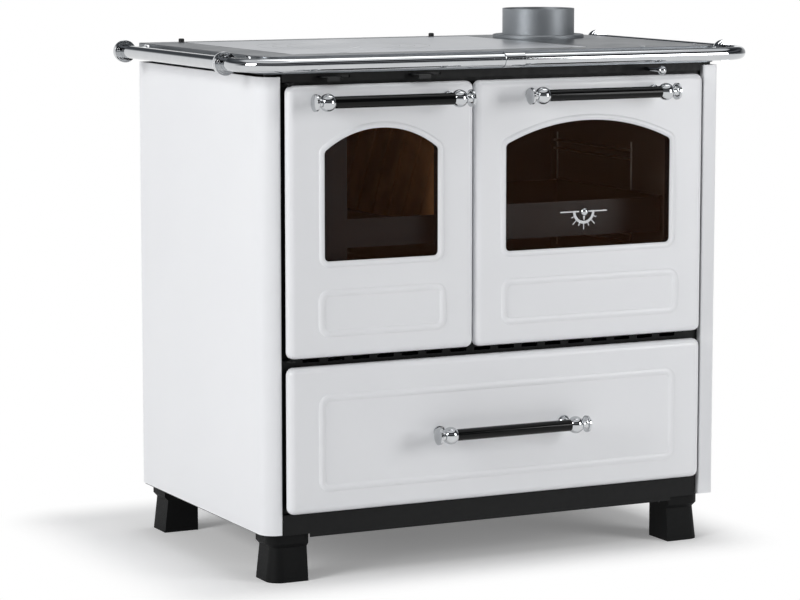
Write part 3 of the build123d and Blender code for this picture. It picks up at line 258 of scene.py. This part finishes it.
def hotRolledSheet():
    # hot-rolled steel with dark brown mill scale, redder where heat has worked on it
    material, tree, place = startMaterial("hotRolledSheet")
    patches = addNode(tree, "TexNoise", {**pattern(place, millScale["patchMm"]),
                                         "Detail": millScale["patchDetail"]})
    scale = addNode(tree, "Mix", {"Factor": patches, **shades(millScale)}, data_type="RGBA")
    bloom = addNode(tree, "TexNoise", {**pattern(place, millScale["bloomMm"]),
                                       "Detail": millScale["bloomDetail"]})
    share = addNode(tree, "MapRange", {"Value": bloom, "From Min": millScale["bloomFrom"][0],
                                       "From Max": millScale["bloomFrom"][1],
                                       "To Max": millScale["bloomShare"]})
    tone = addNode(tree, "Mix", {"Factor": share, "A": scale, "B": toLinear(millScale["rust"])},
                   data_type="RGBA")
    rough = addNode(tree, "MapRange", {"Value": bloom, **noiseTo(millScale["rough"])})
    flakes = addNode(tree, "TexNoise", {**pattern(place, millScale["flakeMm"]),
                                        "Detail": millScale["flakeDetail"]})
    edge = addNode(tree, "Bevel", {"Radius": millScale["edgeMm"] / 1000}, samples=bevelSamples)
    bump = addNode(tree, "Bump", {"Height": flakes, "Distance": millScale["flakeDepthMm"] / 1000,
                                  "Normal": edge})
    shader = addNode(tree, "BsdfPrincipled", {"Base Color": tone, "Roughness": rough,
                                              "Metallic": millScale["metallic"], "Normal": bump})
    addNode(tree, "OutputMaterial", {"Surface": shader})
    return material


chromeCoat = {"dark": "#BEC0C2", "light": "#CACCCE", "driftMm": 25, "hazeMm": 6, "rough": (0.03, 0.07),
              "markMm": 3, "markDepthMm": 0.0008, "edgeMm": 0.3, "metallic": 1.0}
zincCoat = {"dark": "#A9ACAE", "light": "#C9CCCF", "driftMm": 3, "hazeMm": 4, "rough": (0.29, 0.36),
            "markMm": 0.8, "markDepthMm": 0.01, "edgeMm": 0.3, "metallic": 1.0}
wireCoat = {"dark": "#C9C4BA", "light": "#DEDAD2", "driftMm": 20, "hazeMm": 5, "rough": (0.29, 0.34),
            "markMm": 2, "markDepthMm": 0.002, "edgeMm": 0.3, "metallic": 1.0}


def platedMetal(name, finish):
    # a thin bright metal coat: two close greys in soft drifts, a little haze and fine marks left by
    # its making
    material, tree, place = startMaterial(name)
    drift = addNode(tree, "TexNoise", pattern(place, finish["driftMm"]))
    tone = addNode(tree, "Mix", {"Factor": drift, **shades(finish)}, data_type="RGBA")
    haze = addNode(tree, "TexNoise", pattern(place, finish["hazeMm"]))
    rough = addNode(tree, "MapRange", {"Value": haze, **noiseTo(finish["rough"])})
    marks = addNode(tree, "TexNoise", pattern(place, finish["markMm"]))
    edge = addNode(tree, "Bevel", {"Radius": finish["edgeMm"] / 1000}, samples=bevelSamples)
    bump = addNode(tree, "Bump", {"Height": marks, "Distance": finish["markDepthMm"] / 1000,
                                  "Normal": edge})
    shader = addNode(tree, "BsdfPrincipled", {"Base Color": tone, "Roughness": rough,
                                              "Metallic": finish["metallic"], "Normal": bump})
    addNode(tree, "OutputMaterial", {"Surface": shader})
    return material


def chromePlate():
    # bright chrome on polished tube and turned brass: a mirror with the faintest polishing haze
    return platedMetal("polishedChromePlate", chromeCoat)


def zincPlate():
    # zinc plating on turned and headed screws: bright but soft
    return platedMetal("brightZincPlate", zincCoat)


def nickelWire():
    # nickel-plated drawn wire of the oven's guides
    return platedMetal("nickelPlatedWire", wireCoat)


brushedFrame = {"dark": "#6E7276", "light": "#7C8084", "lineMm": 0.5, "lineStretch": (0.02, 1, 1),
                "cloudMm": 40, "cloudDetail": 3.0, "cloudShare": 0.3, "toneFrom": (0.35, 0.65),
                "rough": (0.31, 0.38), "lineDepthMm": 0.004, "edgeMm": 0.8, "metallic": 1.0}
machinedPlate = {"dark": "#D4D6D9", "light": "#E2E4E7", "lineMm": 0.6, "lineStretch": (1, 0.03, 1),
                 "cloudMm": 90, "cloudDetail": 3.0, "cloudShare": 0.5, "toneFrom": (0.35, 0.65),
                 "rough": (0.29, 0.36), "lineDepthMm": 0.003, "edgeMm": 0.4, "metallic": 1.0}


def groundMetal(name, finish):
    # metal ground with a belt: fine parallel lines, long one way and short the other, over faint clouds
    material, tree, place = startMaterial(name)
    drawn = addNode(tree, "Mapping", {"Vector": place, "Scale": finish["lineStretch"]})
    lines = addNode(tree, "TexNoise", pattern(drawn, finish["lineMm"]))
    cloud = addNode(tree, "TexNoise", {**pattern(place, finish["cloudMm"]),
                                       "Detail": finish["cloudDetail"]})
    both = addNode(tree, "Mix", {"Factor": finish["cloudShare"], "A": lines, "B": cloud},
                   data_type="FLOAT")
    share = addNode(tree, "MapRange", {"Value": both, "From Min": finish["toneFrom"][0],
                                       "From Max": finish["toneFrom"][1]})
    tone = addNode(tree, "Mix", {"Factor": share, **shades(finish)}, data_type="RGBA")
    rough = addNode(tree, "MapRange", {"Value": cloud, **noiseTo(finish["rough"])})
    edge = addNode(tree, "Bevel", {"Radius": finish["edgeMm"] / 1000}, samples=bevelSamples)
    bump = addNode(tree, "Bump", {"Height": lines, "Distance": finish["lineDepthMm"] / 1000,
                                  "Normal": edge})
    shader = addNode(tree, "BsdfPrincipled", {"Base Color": tone, "Roughness": rough,
                                              "Metallic": finish["metallic"], "Normal": bump})
    addNode(tree, "OutputMaterial", {"Surface": shader})
    return material


def satinFrame():
    # the cooking top's frame, brushed along its length
    return groundMetal("satinGroundFrame", brushedFrame)


def groundPlate():
    # the cast cooking plate and its rings, face-ground bright from front to back
    return groundMetal("groundCookingPlate", machinedPlate)


fluePaint = {"dark": "#888C90", "light": "#94989C", "driftMm": 30, "rough": (0.48, 0.56),
             "metallic": 0.8, "grainMm": 1.4, "grainDetail": 3.0, "grainDepthMm": 0.01, "edgeMm": 0.6}


def greyStovePaint():
    # heat-proof metallic grey spray on the flue spigot: a soft metal glint over a fine spray grain
    material, tree, place = startMaterial("greyStovePaint")
    drift = addNode(tree, "TexNoise", pattern(place, fluePaint["driftMm"]))
    tone = addNode(tree, "Mix", {"Factor": drift, **shades(fluePaint)}, data_type="RGBA")
    grain = addNode(tree, "TexNoise", {**pattern(place, fluePaint["grainMm"]),
                                       "Detail": fluePaint["grainDetail"]})
    rough = addNode(tree, "MapRange", {"Value": grain, **noiseTo(fluePaint["rough"])})
    edge = addNode(tree, "Bevel", {"Radius": fluePaint["edgeMm"] / 1000}, samples=bevelSamples)
    bump = addNode(tree, "Bump", {"Height": grain, "Distance": fluePaint["grainDepthMm"] / 1000,
                                  "Normal": edge})
    shader = addNode(tree, "BsdfPrincipled", {"Base Color": tone, "Roughness": rough, "Normal": bump,
                                              "Metallic": fluePaint["metallic"]})
    addNode(tree, "OutputMaterial", {"Surface": shader})
    return material


rubber = {"dark": "#0E0E0F", "light": "#191A1B", "driftMm": 4, "rough": 0.62, "skinMm": 0.6,
          "skinDepthMm": 0.01}


def mouldedRubber():
    # black plugs at the rear edge: dull, with the mould's fine skin
    material, tree, place = startMaterial("mouldedRubber")
    drift = addNode(tree, "TexNoise", pattern(place, rubber["driftMm"]))
    tone = addNode(tree, "Mix", {"Factor": drift, **shades(rubber)}, data_type="RGBA")
    skin = addNode(tree, "TexNoise", pattern(place, rubber["skinMm"]))
    bump = addNode(tree, "Bump", {"Height": skin, "Distance": rubber["skinDepthMm"] / 1000})
    shader = addNode(tree, "BsdfPrincipled", {"Base Color": tone, "Roughness": rubber["rough"],
                                              "Normal": bump})
    addNode(tree, "OutputMaterial", {"Surface": shader})
    return material


lacquer = {"dark": "#040505", "light": "#070708", "driftMm": 15, "rough": (0.08, 0.13), "gloss": 0.18,
           "flowMm": 6, "flowDepthMm": 0.002}


def blackLacquer():
    # the grips: black lacquered tube, smooth, with one crisp highlight and a faint flow in the lacquer
    material, tree, place = startMaterial("blackLacqueredGrip")
    drift = addNode(tree, "TexNoise", pattern(place, lacquer["driftMm"]))
    tone = addNode(tree, "Mix", {"Factor": drift, **shades(lacquer)}, data_type="RGBA")
    rough = addNode(tree, "MapRange", {"Value": drift, **noiseTo(lacquer["rough"])})
    flow = addNode(tree, "TexNoise", pattern(place, lacquer["flowMm"]))
    bump = addNode(tree, "Bump", {"Height": flow, "Distance": lacquer["flowDepthMm"] / 1000})
    shader = addNode(tree, "BsdfPrincipled", {"Base Color": tone, "Roughness": rough, "Normal": bump,
                                              "Specular IOR Level": lacquer["gloss"]})
    addNode(tree, "OutputMaterial", {"Surface": shader})
    return material


ceramic = {"tint": "#341B0B", "rough": 0.03, "cover": (0.15, 0.20), "gloss": 0.12, "veilMm": 45,
           "veilDetail": 3.0}


def ceramicGlass():
    # rolled glass ceramic, brown in the mass: each face hides a share of what lies behind it, with a
    # slightly uneven smoky veil
    material, tree, place = startMaterial("amberGlassCeramic")
    veil = addNode(tree, "TexNoise", {**pattern(place, ceramic["veilMm"]),
                                      "Detail": ceramic["veilDetail"]})
    cover = addNode(tree, "MapRange", {"Value": veil, **noiseTo(ceramic["cover"])})
    shader = addNode(tree, "BsdfPrincipled",
                     {"Base Color": toLinear(ceramic["tint"]), "Roughness": ceramic["rough"],
                      "Alpha": cover, "Specular IOR Level": ceramic["gloss"]})
    addNode(tree, "OutputMaterial", {"Surface": shader})
    return material


rope = {"dark": "#4B4A46", "light": "#8C8A83", "yarnMm": 1.1, "yarnDetail": 3.0, "yarnDepthMm": 0.15,
        "rough": 0.85, "sheen": 0.25}


def glassFibreRope():
    # braided glass fibre, greyed by soot, with fine yarn along each strand
    material, tree, place = startMaterial("glassFibreRope")
    yarn = addNode(tree, "TexNoise", {**pattern(place, rope["yarnMm"]), "Detail": rope["yarnDetail"]})
    share = addNode(tree, "MapRange", {"Value": yarn, **noiseTo((0.0, 1.0))})
    tone = addNode(tree, "Mix", {"Factor": share, **shades(rope)}, data_type="RGBA")
    bump = addNode(tree, "Bump", {"Height": yarn, "Distance": rope["yarnDepthMm"] / 1000})
    shader = addNode(tree, "BsdfPrincipled", {"Base Color": tone, "Roughness": rope["rough"],
                                              "Sheen Weight": rope["sheen"], "Normal": bump})
    addNode(tree, "OutputMaterial", {"Surface": shader})
    return material


ovenCoat = {"dark": "#51453A", "light": "#605446", "speck": "#94897C", "driftMm": 50, "speckMm": 3.2,
            "speckFrom": (0.06, 0.13), "speckShare": 0.6, "rough": (0.30, 0.38), "peelMm": 8,
            "peelDepthMm": 0.006, "edgeMm": 0.6}


def speckledEnamel():
    # dark oven enamel with pale pin-head specks
    material, tree, place = startMaterial("speckledOvenEnamel")
    drift = addNode(tree, "TexNoise", pattern(place, ovenCoat["driftMm"]))
    ground = addNode(tree, "Mix", {"Factor": drift, **shades(ovenCoat)}, data_type="RGBA")
    cells = addNode(tree, "TexVoronoi", pattern(place, ovenCoat["speckMm"]))
    specks = addNode(tree, "MapRange", {"Value": cells, "From Min": ovenCoat["speckFrom"][0],
                                        "From Max": ovenCoat["speckFrom"][1],
                                        "To Min": ovenCoat["speckShare"], "To Max": 0.0})
    tone = addNode(tree, "Mix", {"Factor": specks, "A": ground, "B": toLinear(ovenCoat["speck"])},
                   data_type="RGBA")
    rough = addNode(tree, "MapRange", {"Value": drift, **noiseTo(ovenCoat["rough"])})
    peel = addNode(tree, "TexNoise", pattern(place, ovenCoat["peelMm"]))
    edge = addNode(tree, "Bevel", {"Radius": ovenCoat["edgeMm"] / 1000}, samples=bevelSamples)
    bump = addNode(tree, "Bump", {"Height": peel, "Distance": ovenCoat["peelDepthMm"] / 1000,
                                  "Normal": edge})
    shader = addNode(tree, "BsdfPrincipled", {"Base Color": tone, "Roughness": rough, "Normal": bump})
    addNode(tree, "OutputMaterial", {"Surface": shader})
    return material


def paint(piece, material):
    piece.data.materials.clear()
    piece.data.materials.append(material)


slotFinishes = {
    "white_enamel": vitreousEnamel, "black_paint": blackPowderCoat, "cast_black": paintedCasting,
    "galvanised_steel": galvanisedSheet, "casing_steel": hotRolledSheet, "zinc_plated": zincPlate,
    "frame_grey": satinFrame, "plate_steel": groundPlate, "flue_grey": greyStovePaint,
    "black_rubber": mouldedRubber, "chrome": chromePlate, "grip_black": blackLacquer,
    "tinted_glass": ceramicGlass, "sealing_rope": glassFibreRope, "dark_enamel": speckledEnamel,
}
nodeFinishes = {"firebox_lining": firedClay, "oven_rack_guides": nickelWire, "air_slider": blackTabCoatPaintedHighlight,
                "oven_tray": blackTrayEnamel}
made = {slot: build() for slot, build in slotFinishes.items()}
for part in frame["record"]["subparts"]:
    paint(nodes[part["node"]], made[part["material_slot"]])
for node, build in nodeFinishes.items():
    paint(nodes[node], build())


# surfaces worked out with numpy

def gridFaces(rows, columns, closedRows, closedColumns):
    # the four-sided faces between neighbouring points of a grid, wrapped where it closes on itself
    r = np.arange(rows if closedRows else rows - 1)[:, None]
    c = np.arange(columns if closedColumns else columns - 1)[None, :]
    a, b = r * columns + c, r * columns + (c + 1) % columns
    d, e = (r + 1) % rows * columns + (c + 1) % columns, (r + 1) % rows * columns + c
    return np.stack([a, b, d, e], -1).reshape(-1, 4)


def endFaces(rows, columns):
    # the two flat faces that close a grid of rings at its first and its last row
    ring = np.arange(columns)
    return np.stack([ring[::-1], (rows - 1) * columns + ring])


def meshFrom(name, points, faceGroups, slot, body):
    # a smooth mesh piece from points in metres and arrays of faces, riding on a body
    faces = [face for group in faceGroups for face in group.tolist()]
    mesh = bpy.data.meshes.new(name)
    mesh.from_pydata(points.reshape(-1, 3).tolist(), [], faces)
    mesh.shade_smooth()
    piece = bpy.data.objects.new(name, mesh)
    bpy.context.scene.collection.objects.link(piece)
    paint(piece, made[slot])
    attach(piece, body)
    return piece


def roundedLoop(x0, x1, z0, z1, radius, count):
    # points spaced evenly along a rounded rectangle in x and z, the outward direction at each, and the
    # loop's length: four straights and four quarter arcs laid end to end and read off by distance
    wide, high = x1 - x0 - 2 * radius, z1 - z0 - 2 * radius
    arc = radius * pi / 2
    lengths = np.array([wide, arc, high, arc, wide, arc, high, arc])
    starts = np.concatenate([[0], np.cumsum(lengths)])
    s = np.arange(count) / count * starts[-1]
    part = np.searchsorted(starts, s, side="right") - 1
    along = s - starts[part]
    side = part // 2
    turn = -pi / 2 + side * pi / 2 + np.where(part % 2, along / radius, 0)
    outward = np.stack([np.cos(turn), np.sin(turn)], -1)
    corner = np.array([[x1 - radius, z0 + radius], [x1 - radius, z1 - radius],
                       [x0 + radius, z1 - radius], [x0 + radius, z0 + radius]])[side]
    forward = np.stack([-np.sin(turn), np.cos(turn)], -1)
    back = np.where(part % 2, 0, lengths[part] - along)[:, None]
    return corner + outward * radius - forward * back, outward, starts[-1]


# rope seals on the backs of the doors

seal = {"halfWidthMm": 4.8, "loopRadiusMm": 13.2, "strandPitchMm": 7.0, "strands": 6,
        "reliefShare": 0.10, "around": 30, "perPitch": 7}


def ropeSeal(name, node, body):
    # a tube of oval section along a rounded rectangle; its surface rises and falls with two families
    # of strands that wind opposite ways, swell = 1 - share * (1 - root of |product of their sines|)
    low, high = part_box(node)
    halfWide, halfDeep = seal["halfWidthMm"] / 1000, (high.y - low.y) / 2
    loop = (low.x + halfWide, high.x - halfWide, low.z + halfWide, high.z - halfWide,
            seal["loopRadiusMm"] / 1000)
    length = roundedLoop(*loop, 8)[2]  # the same for any count of points
    turns = round(length / (seal["strandPitchMm"] / 1000) / seal["strands"]) * seal["strands"]
    count = turns * seal["perPitch"]
    line, outward, _ = roundedLoop(*loop, count)
    s = (np.arange(count) / count * turns * pi)[:, None]
    around = (np.arange(seal["around"]) / seal["around"] * 2 * pi)[None, :]
    family = seal["strands"] / 2 * around
    weave = np.abs(np.sin(family + s)) * np.abs(np.sin(family - s))
    swell = 1 - seal["reliefShare"] * (1 - np.sqrt(weave))
    wide, deep = halfWide * swell * np.cos(around), halfDeep * swell * np.sin(around)
    x, z = line[:, :1] + outward[:, :1] * wide, line[:, 1:] + outward[:, 1:] * wide
    points = np.stack([x, (low.y + high.y) / 2 + deep, z], -1)
    faces = gridFaces(count, seal["around"], True, True)
    piece = meshFrom(name, points, [faces], "sealing_rope", body)
    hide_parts(node)


ropeSeal("fireDoorSeal", "fire_door_gasket", "fire_door")
ropeSeal("ovenDoorSeal", "oven_door_gasket", "oven_door")
print("rope seals made")


# thermometer hub and needle

thermometer = {"hubRadiusMm": 7.4, "hubSeatMm": 7.5, "tipAngle": 0.02, "domeRows": 16, "around": 48,
               "spindleRadiusMm": 2.0, "spindleEdgeMm": 0.4, "needleLengthMm": 15.5,
               "needleHalfWidthMm": 2.3, "needleHalfDepthMm": 0.5, "needleSunkMm": 0.6,
               "needleRows": 40, "needleAround": 20, "needleEnds": (0.001, 0.999),
               "taperPower": 0.7, "shoulderPower": 3, "rootSquare": 0.02}


def thermometerPointer():
    low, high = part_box("thermometer_pointer")
    size = {name: value / 1000 for name, value in thermometer.items() if name.endswith("Mm")}
    centreX, centreZ = (low.x + high.x) / 2, high.z - size["hubSeatMm"]
    foot = low.y + size["hubSeatMm"]
    # hub and spindle: a profile of (y, radius) swept once round an axis along y; a quarter arc from
    # the tip to the rim, then the spindle back through the glass
    bend = np.linspace(thermometer["tipAngle"], pi / 2, thermometer["domeRows"])
    hub, spindle, edge = size["hubRadiusMm"], size["spindleRadiusMm"], size["spindleEdgeMm"]
    dome = np.stack([foot - hub * np.cos(bend), hub * np.sin(bend)], -1)
    back = np.array([[foot, spindle], [high.y - edge, spindle], [high.y, spindle - edge]])
    profile = np.concatenate([dome, back])
    count, rows = thermometer["around"], len(profile)
    angle = np.arange(count) / count * 2 * pi
    y, radius = profile[:, :1], profile[:, 1:]
    turned = np.stack([centreX + radius * np.cos(angle), y + 0 * angle,
                       centreZ + radius * np.sin(angle)], -1)
    hubFaces = gridFaces(rows, count, False, True)[:, ::-1]
    hubEnds = endFaces(rows, count)[:, ::-1]
    # needle: a drop whose half width at a share t of its length is
    # (1 - t) ** taper * root of (1 - (1 - t) ** shoulder + root square), flattened to a thin blade
    needleRows, across = thermometer["needleRows"], thermometer["needleAround"]
    share = np.linspace(*thermometer["needleEnds"], needleRows)[:, None]
    around = (np.arange(across) / across * 2 * pi)[None, :]
    shoulder = 1 - np.power(1 - share, thermometer["shoulderPower"]) + thermometer["rootSquare"]
    half = np.power(1 - share, thermometer["taperPower"]) * np.sqrt(shoulder)
    wide = size["needleHalfWidthMm"] * half * np.cos(around) / half.max()
    deep = size["needleHalfDepthMm"] * half * np.sin(around) / half.max()
    blade = np.stack([centreX + wide, foot - size["needleSunkMm"] + deep,
                      centreZ - share * size["needleLengthMm"] + 0 * around], -1)
    first = rows * count
    bladeFaces = first + gridFaces(needleRows, across, False, True)
    bladeEnds = first + endFaces(needleRows, across)
    points = np.concatenate([turned.reshape(-1, 3), blade.reshape(-1, 3)])
    piece = meshFrom("thermometerNeedle", points, [hubFaces, hubEnds, bladeFaces, bladeEnds],
                     "chrome", "thermometer_pointer")
    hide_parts("thermometer_pointer")


thermometerPointer()
print("thermometer made")


# socket screws that hold the back panel and the door liners

backScrew = {"headRadiusMm": 4.2, "headHeightMm": 1.8, "socketRadiusMm": 1.9, "socketDepthMm": 1.1,
             "insetMm": 10, "perSide": 5}
linerScrew = {"headRadiusMm": 3.4, "headHeightMm": 1.7, "socketRadiusMm": 1.5, "socketDepthMm": 1.0,
              "insetMm": 14, "endMm": 45, "perSide": 4}
screwHead = {"around": 36, "domeRows": 7, "domeTurn": 0.42 * pi, "crownShare": 0.45, "wallShare": 0.25,
             "chamferMm": 0.1, "chamferDepthMm": 0.15}


def buttonScrews(name, screw, places, body):
    # round button heads that face backwards, each with a six-sided socket: rings of points from the
    # rim in, an arc over the head, then the socket, whose radius at an angle is
    # r / cos(angle folded into a sixth of a turn)
    count, crown, wall = screwHead["around"], screwHead["crownShare"], screwHead["wallShare"]
    angle = np.arange(count) / count * 2 * pi
    rim, height = screw["headRadiusMm"], screw["headHeightMm"]
    hexagon = screw["socketRadiusMm"] / np.cos((angle + pi / 6) % (pi / 3) - pi / 6)
    bend = np.linspace(0, screwHead["domeTurn"], screwHead["domeRows"])
    dome = rim * (1 - crown + crown * np.cos(bend))[:, None] + 0 * angle
    radius = np.concatenate([np.full((1, count), rim), dome,
                             [hexagon + screwHead["chamferMm"], hexagon, hexagon]])
    domeLevels = height * (wall + (1 - wall) * np.sin(bend) / sin(bend[-1]))
    level = np.concatenate([[0.0], domeLevels, [height, height - screwHead["chamferDepthMm"],
                                                height - screw["socketDepthMm"]]])
    head = np.stack([-radius * np.cos(angle), level[:, None] + 0 * angle, radius * np.sin(angle)], -1)
    rows = len(level)
    shift = np.arange(len(places))[:, None, None] * rows * count
    sides = (gridFaces(rows, count, False, True) + shift).reshape(-1, 4)
    ends = (endFaces(rows, count) + shift).reshape(-1, count)
    points = head.reshape(1, -1, 3) / 1000 + np.array(places)[:, None, :]
    meshFrom(name, points, [sides, ends], "zinc_plated", body)


def backScrews():
    low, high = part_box("back_panel")
    inset, count = backScrew["insetMm"] / 1000, backScrew["perSide"]
    columns = np.linspace(low.x + inset, high.x - inset, count)
    rows = np.linspace(low.z + inset, high.z - inset, count)
    rim = (0, count - 1)
    places = [(columns[i], high.y, rows[j])
              for i in range(count) for j in range(count) if i in rim or j in rim]
    buttonScrews("backPanelScrews", backScrew, places, "stove_body")


def linerScrews(name, node, body):
    low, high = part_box(node)
    inset, end = linerScrew["insetMm"] / 1000, linerScrew["endMm"] / 1000
    levels = np.linspace(low.z + end, high.z - end, linerScrew["perSide"])
    places = [(x, high.y, z) for x in (low.x + inset, high.x - inset) for z in levels]
    buttonScrews(name, linerScrew, places, body)


backScrews()
linerScrews("fireDoorScrews", "fire_door_liner", "fire_door")
linerScrews("ovenDoorScrews", "oven_door_liner", "oven_door")
print("screws made")


# floor, surroundings, lights and camera

floorPaper = {"dark": "#F8F8F8", "light": "#FCFCFC", "driftMm": 400, "halfSizeM": 9.0, "rough": 0.9,
              "lift": 0.18, "shadowMiddleM": (-0.05, 0.09, 0.0), "shadowHalfM": (0.45, 0.31, 0.0),
              "fadeM": 0.16}


def studioFloor():
    # a wide white floor; eye and gloss see the stove's shadow on it near the stove, and plain white
    # further out: the white share grows with the distance outside a rectangle,
    # length(max(|p - middle| - half, 0))
    half = floorPaper["halfSizeM"]
    corners = [(-half, -half, 0), (half, -half, 0), (half, half, 0), (-half, half, 0)]
    mesh = bpy.data.meshes.new("studioFloor")
    mesh.from_pydata(corners, [], [(0, 1, 2, 3)])
    floor = bpy.data.objects.new("studioFloor", mesh)
    bpy.context.scene.collection.objects.link(floor)
    material, tree, place = startMaterial("whiteFloorPaper")
    path = addNode(tree, "LightPath")
    seen = addNode(tree, "Math", {"Value": path.outputs["Is Camera Ray"],
                                  "Value_001": path.outputs["Is Glossy Ray"]}, operation="MAXIMUM")
    drift = addNode(tree, "TexNoise", pattern(place, floorPaper["driftMm"]))
    tone = addNode(tree, "Mix", {"Factor": drift, **shades(floorPaper)}, data_type="RGBA")
    lift = addNode(tree, "Math", {"Value": seen, "Value_001": floorPaper["lift"]},
                   operation="MULTIPLY")
    paper = addNode(tree, "BsdfPrincipled", {"Base Color": tone, "Roughness": floorPaper["rough"],
                                             "Specular IOR Level": 0.0, "Emission Color": white,
                                             "Emission Strength": lift})
    offset = addNode(tree, "VectorMath", {"Vector": place, "Vector_001": floorPaper["shadowMiddleM"]},
                     operation="SUBTRACT")
    apart = addNode(tree, "VectorMath", {"Vector": offset}, operation="ABSOLUTE")
    beyond = addNode(tree, "VectorMath", {"Vector": apart, "Vector_001": floorPaper["shadowHalfM"]},
                     operation="SUBTRACT")
    outside = addNode(tree, "VectorMath", {"Vector": beyond, "Vector_001": (0, 0, 0)},
                      operation="MAXIMUM")
    distance = addNode(tree, "VectorMath", {"Vector": outside}, operation="LENGTH")
    fade = addNode(tree, "MapRange", {"Value": distance, "From Max": floorPaper["fadeM"]},
                   interpolation_type="SMOOTHSTEP")
    share = addNode(tree, "Math", {"Value": seen, "Value_001": fade}, operation="MULTIPLY")
    plain = addNode(tree, "Emission", {"Color": white, "Strength": 1.0})
    mixed = addNode(tree, "MixShader", {"Fac": share, "Shader": paper, "Shader_001": plain})
    addNode(tree, "OutputMaterial", {"Surface": mixed})
    paint(floor, material)


room = {
    "front": [(0.0, "#A4A6A9"), (0.07, "#96989B"), (0.10, "#141517"), (0.32, "#101113"),
              (0.36, "#8B8D91"), (0.47, "#7A7C80"), (0.52, "#0E0F11"), (0.70, "#131416"),
              (0.74, "#F2F3F5"), (1.0, "#D8D9DB")],
    "rear": [(0.0, "#FCFCFD"), (0.22, "#F4F5F6"), (0.32, "#54575B"), (0.46, "#3C3F43"),
             (0.72, "#6C6F73"), (0.84, "#F2F3F5"), (1.0, "#D8D9DB")],
    "rearFrom": (0.1, 0.5), "flag": "#3A3C40", "flagShare": 0.6, "flagFrom": (0.62, 0.8),
    "soft": "#FAFBFD", "softStrength": 0.23,
}


def greyBands(ramp, stops):
    # fills a colour ramp with (height, grey) stops
    points = ramp.color_ramp.elements
    points[0].position, points[0].color = stops[0][0], toLinear(stops[0][1])
    points[1].position, points[1].color = stops[-1][0], toLinear(stops[-1][1])
    for position, tone in stops[1:-1]:
        points.new(position).color = toLinear(tone)


def studioWorld():
    # the eye sees plain white; gloss sees a studio room by height: pale low down, dark flags between
    # softer panels, a white ceiling, a paler wall behind the stove and a dark flag on its right
    world = bpy.data.worlds.new("paleStudio")
    world.use_nodes = True
    tree = world.node_tree
    tree.nodes.clear()
    way = addNode(tree, "TexCoord").outputs["Generated"]
    parts = addNode(tree, "SeparateXYZ", {"Vector": way})
    front = addNode(tree, "ValToRGB", {"Fac": parts.outputs["Z"]})
    greyBands(front, room["front"])
    rear = addNode(tree, "ValToRGB", {"Fac": parts.outputs["Z"]})
    greyBands(rear, room["rear"])
    behind = addNode(tree, "MapRange", {"Value": parts.outputs["Y"], "From Min": room["rearFrom"][0],
                                        "From Max": room["rearFrom"][1]})
    ends = addNode(tree, "Mix", {"Factor": behind, "A": front, "B": rear}, data_type="RGBA")
    rightward = addNode(tree, "MapRange", {"Value": parts.outputs["X"],
                                           "From Min": room["flagFrom"][0],
                                           "From Max": room["flagFrom"][1],
                                           "To Max": room["flagShare"]})
    around = addNode(tree, "Mix", {"Factor": rightward, "A": ends, "B": toLinear(room["flag"])},
                     data_type="RGBA")
    path = addNode(tree, "LightPath")
    seen = addNode(tree, "Math", {"Value": path.outputs["Is Camera Ray"],
                                  "Value_001": path.outputs["Is Transmission Ray"]},
                   operation="MAXIMUM")
    soft = addNode(tree, "Background", {"Color": toLinear(room["soft"]),
                                        "Strength": room["softStrength"]})
    gloss = addNode(tree, "Background", {"Color": around, "Strength": 1.0})
    plain = addNode(tree, "Background", {"Color": white, "Strength": 1.0})
    lit = addNode(tree, "MixShader", {"Fac": path.outputs["Is Glossy Ray"], "Shader": soft,
                                      "Shader_001": gloss})
    final = addNode(tree, "MixShader", {"Fac": seen, "Shader": lit, "Shader_001": plain})
    addNode(tree, "OutputWorld", {"Surface": final})
    bpy.context.scene.world = world


lamps = {
    "leftSoftBox": {"place": (-5.4, -1.5, 2.5), "sizeM": (2.2, 2.6), "watts": 193.0},
    "rightSoftBox": {"place": (2.1, -2.6, 1.2), "sizeM": (1.2, 1.4), "watts": 36.0},
    "topSoftBox": {"place": (0.5, 0.3, 3.0), "sizeM": (2.0, 1.4), "watts": 16.0},
}


def softBox(name, lamp, aim):
    light = bpy.data.lights.new(name, "AREA")
    light.shape, light.energy = "RECTANGLE", lamp["watts"]
    light.size, light.size_y = lamp["sizeM"]
    box = bpy.data.objects.new(name, light)
    box.location = lamp["place"]
    box.rotation_mode = "QUATERNION"
    box.rotation_quaternion = (aim - Vector(lamp["place"])).to_track_quat("-Z", "Y")
    bpy.context.scene.collection.objects.link(box)


view = {"place": (-2.4129, -4.7058, 1.1160), "headingDeg": 26.496, "downDeg": 7.517,
        "lensMm": 138.32, "sensorMm": 36.0}


def studioCamera():
    # stands to the left of the front, a little above the worktop, looking slightly down
    heading, down = radians(view["headingDeg"]), radians(view["downDeg"])
    way = Vector((sin(heading) * cos(down), cos(heading) * cos(down), -sin(down)))
    data = bpy.data.cameras.new("studioCamera")
    data.lens, data.sensor_width = view["lensMm"], view["sensorMm"]
    camera = bpy.data.objects.new("studioCamera", data)
    camera.location = view["place"]
    camera.rotation_mode = "QUATERNION"
    camera.rotation_quaternion = way.to_track_quat("-Z", "Y")
    bpy.context.scene.collection.objects.link(camera)
    bpy.context.scene.camera = camera


studioFloor()
studioWorld()
for name, lamp in lamps.items():
    softBox(name, lamp, (cadBox[0] + cadBox[1]) / 2)
studioCamera()
bpy.context.scene.view_settings.view_transform = "Standard"
print("studio ready")
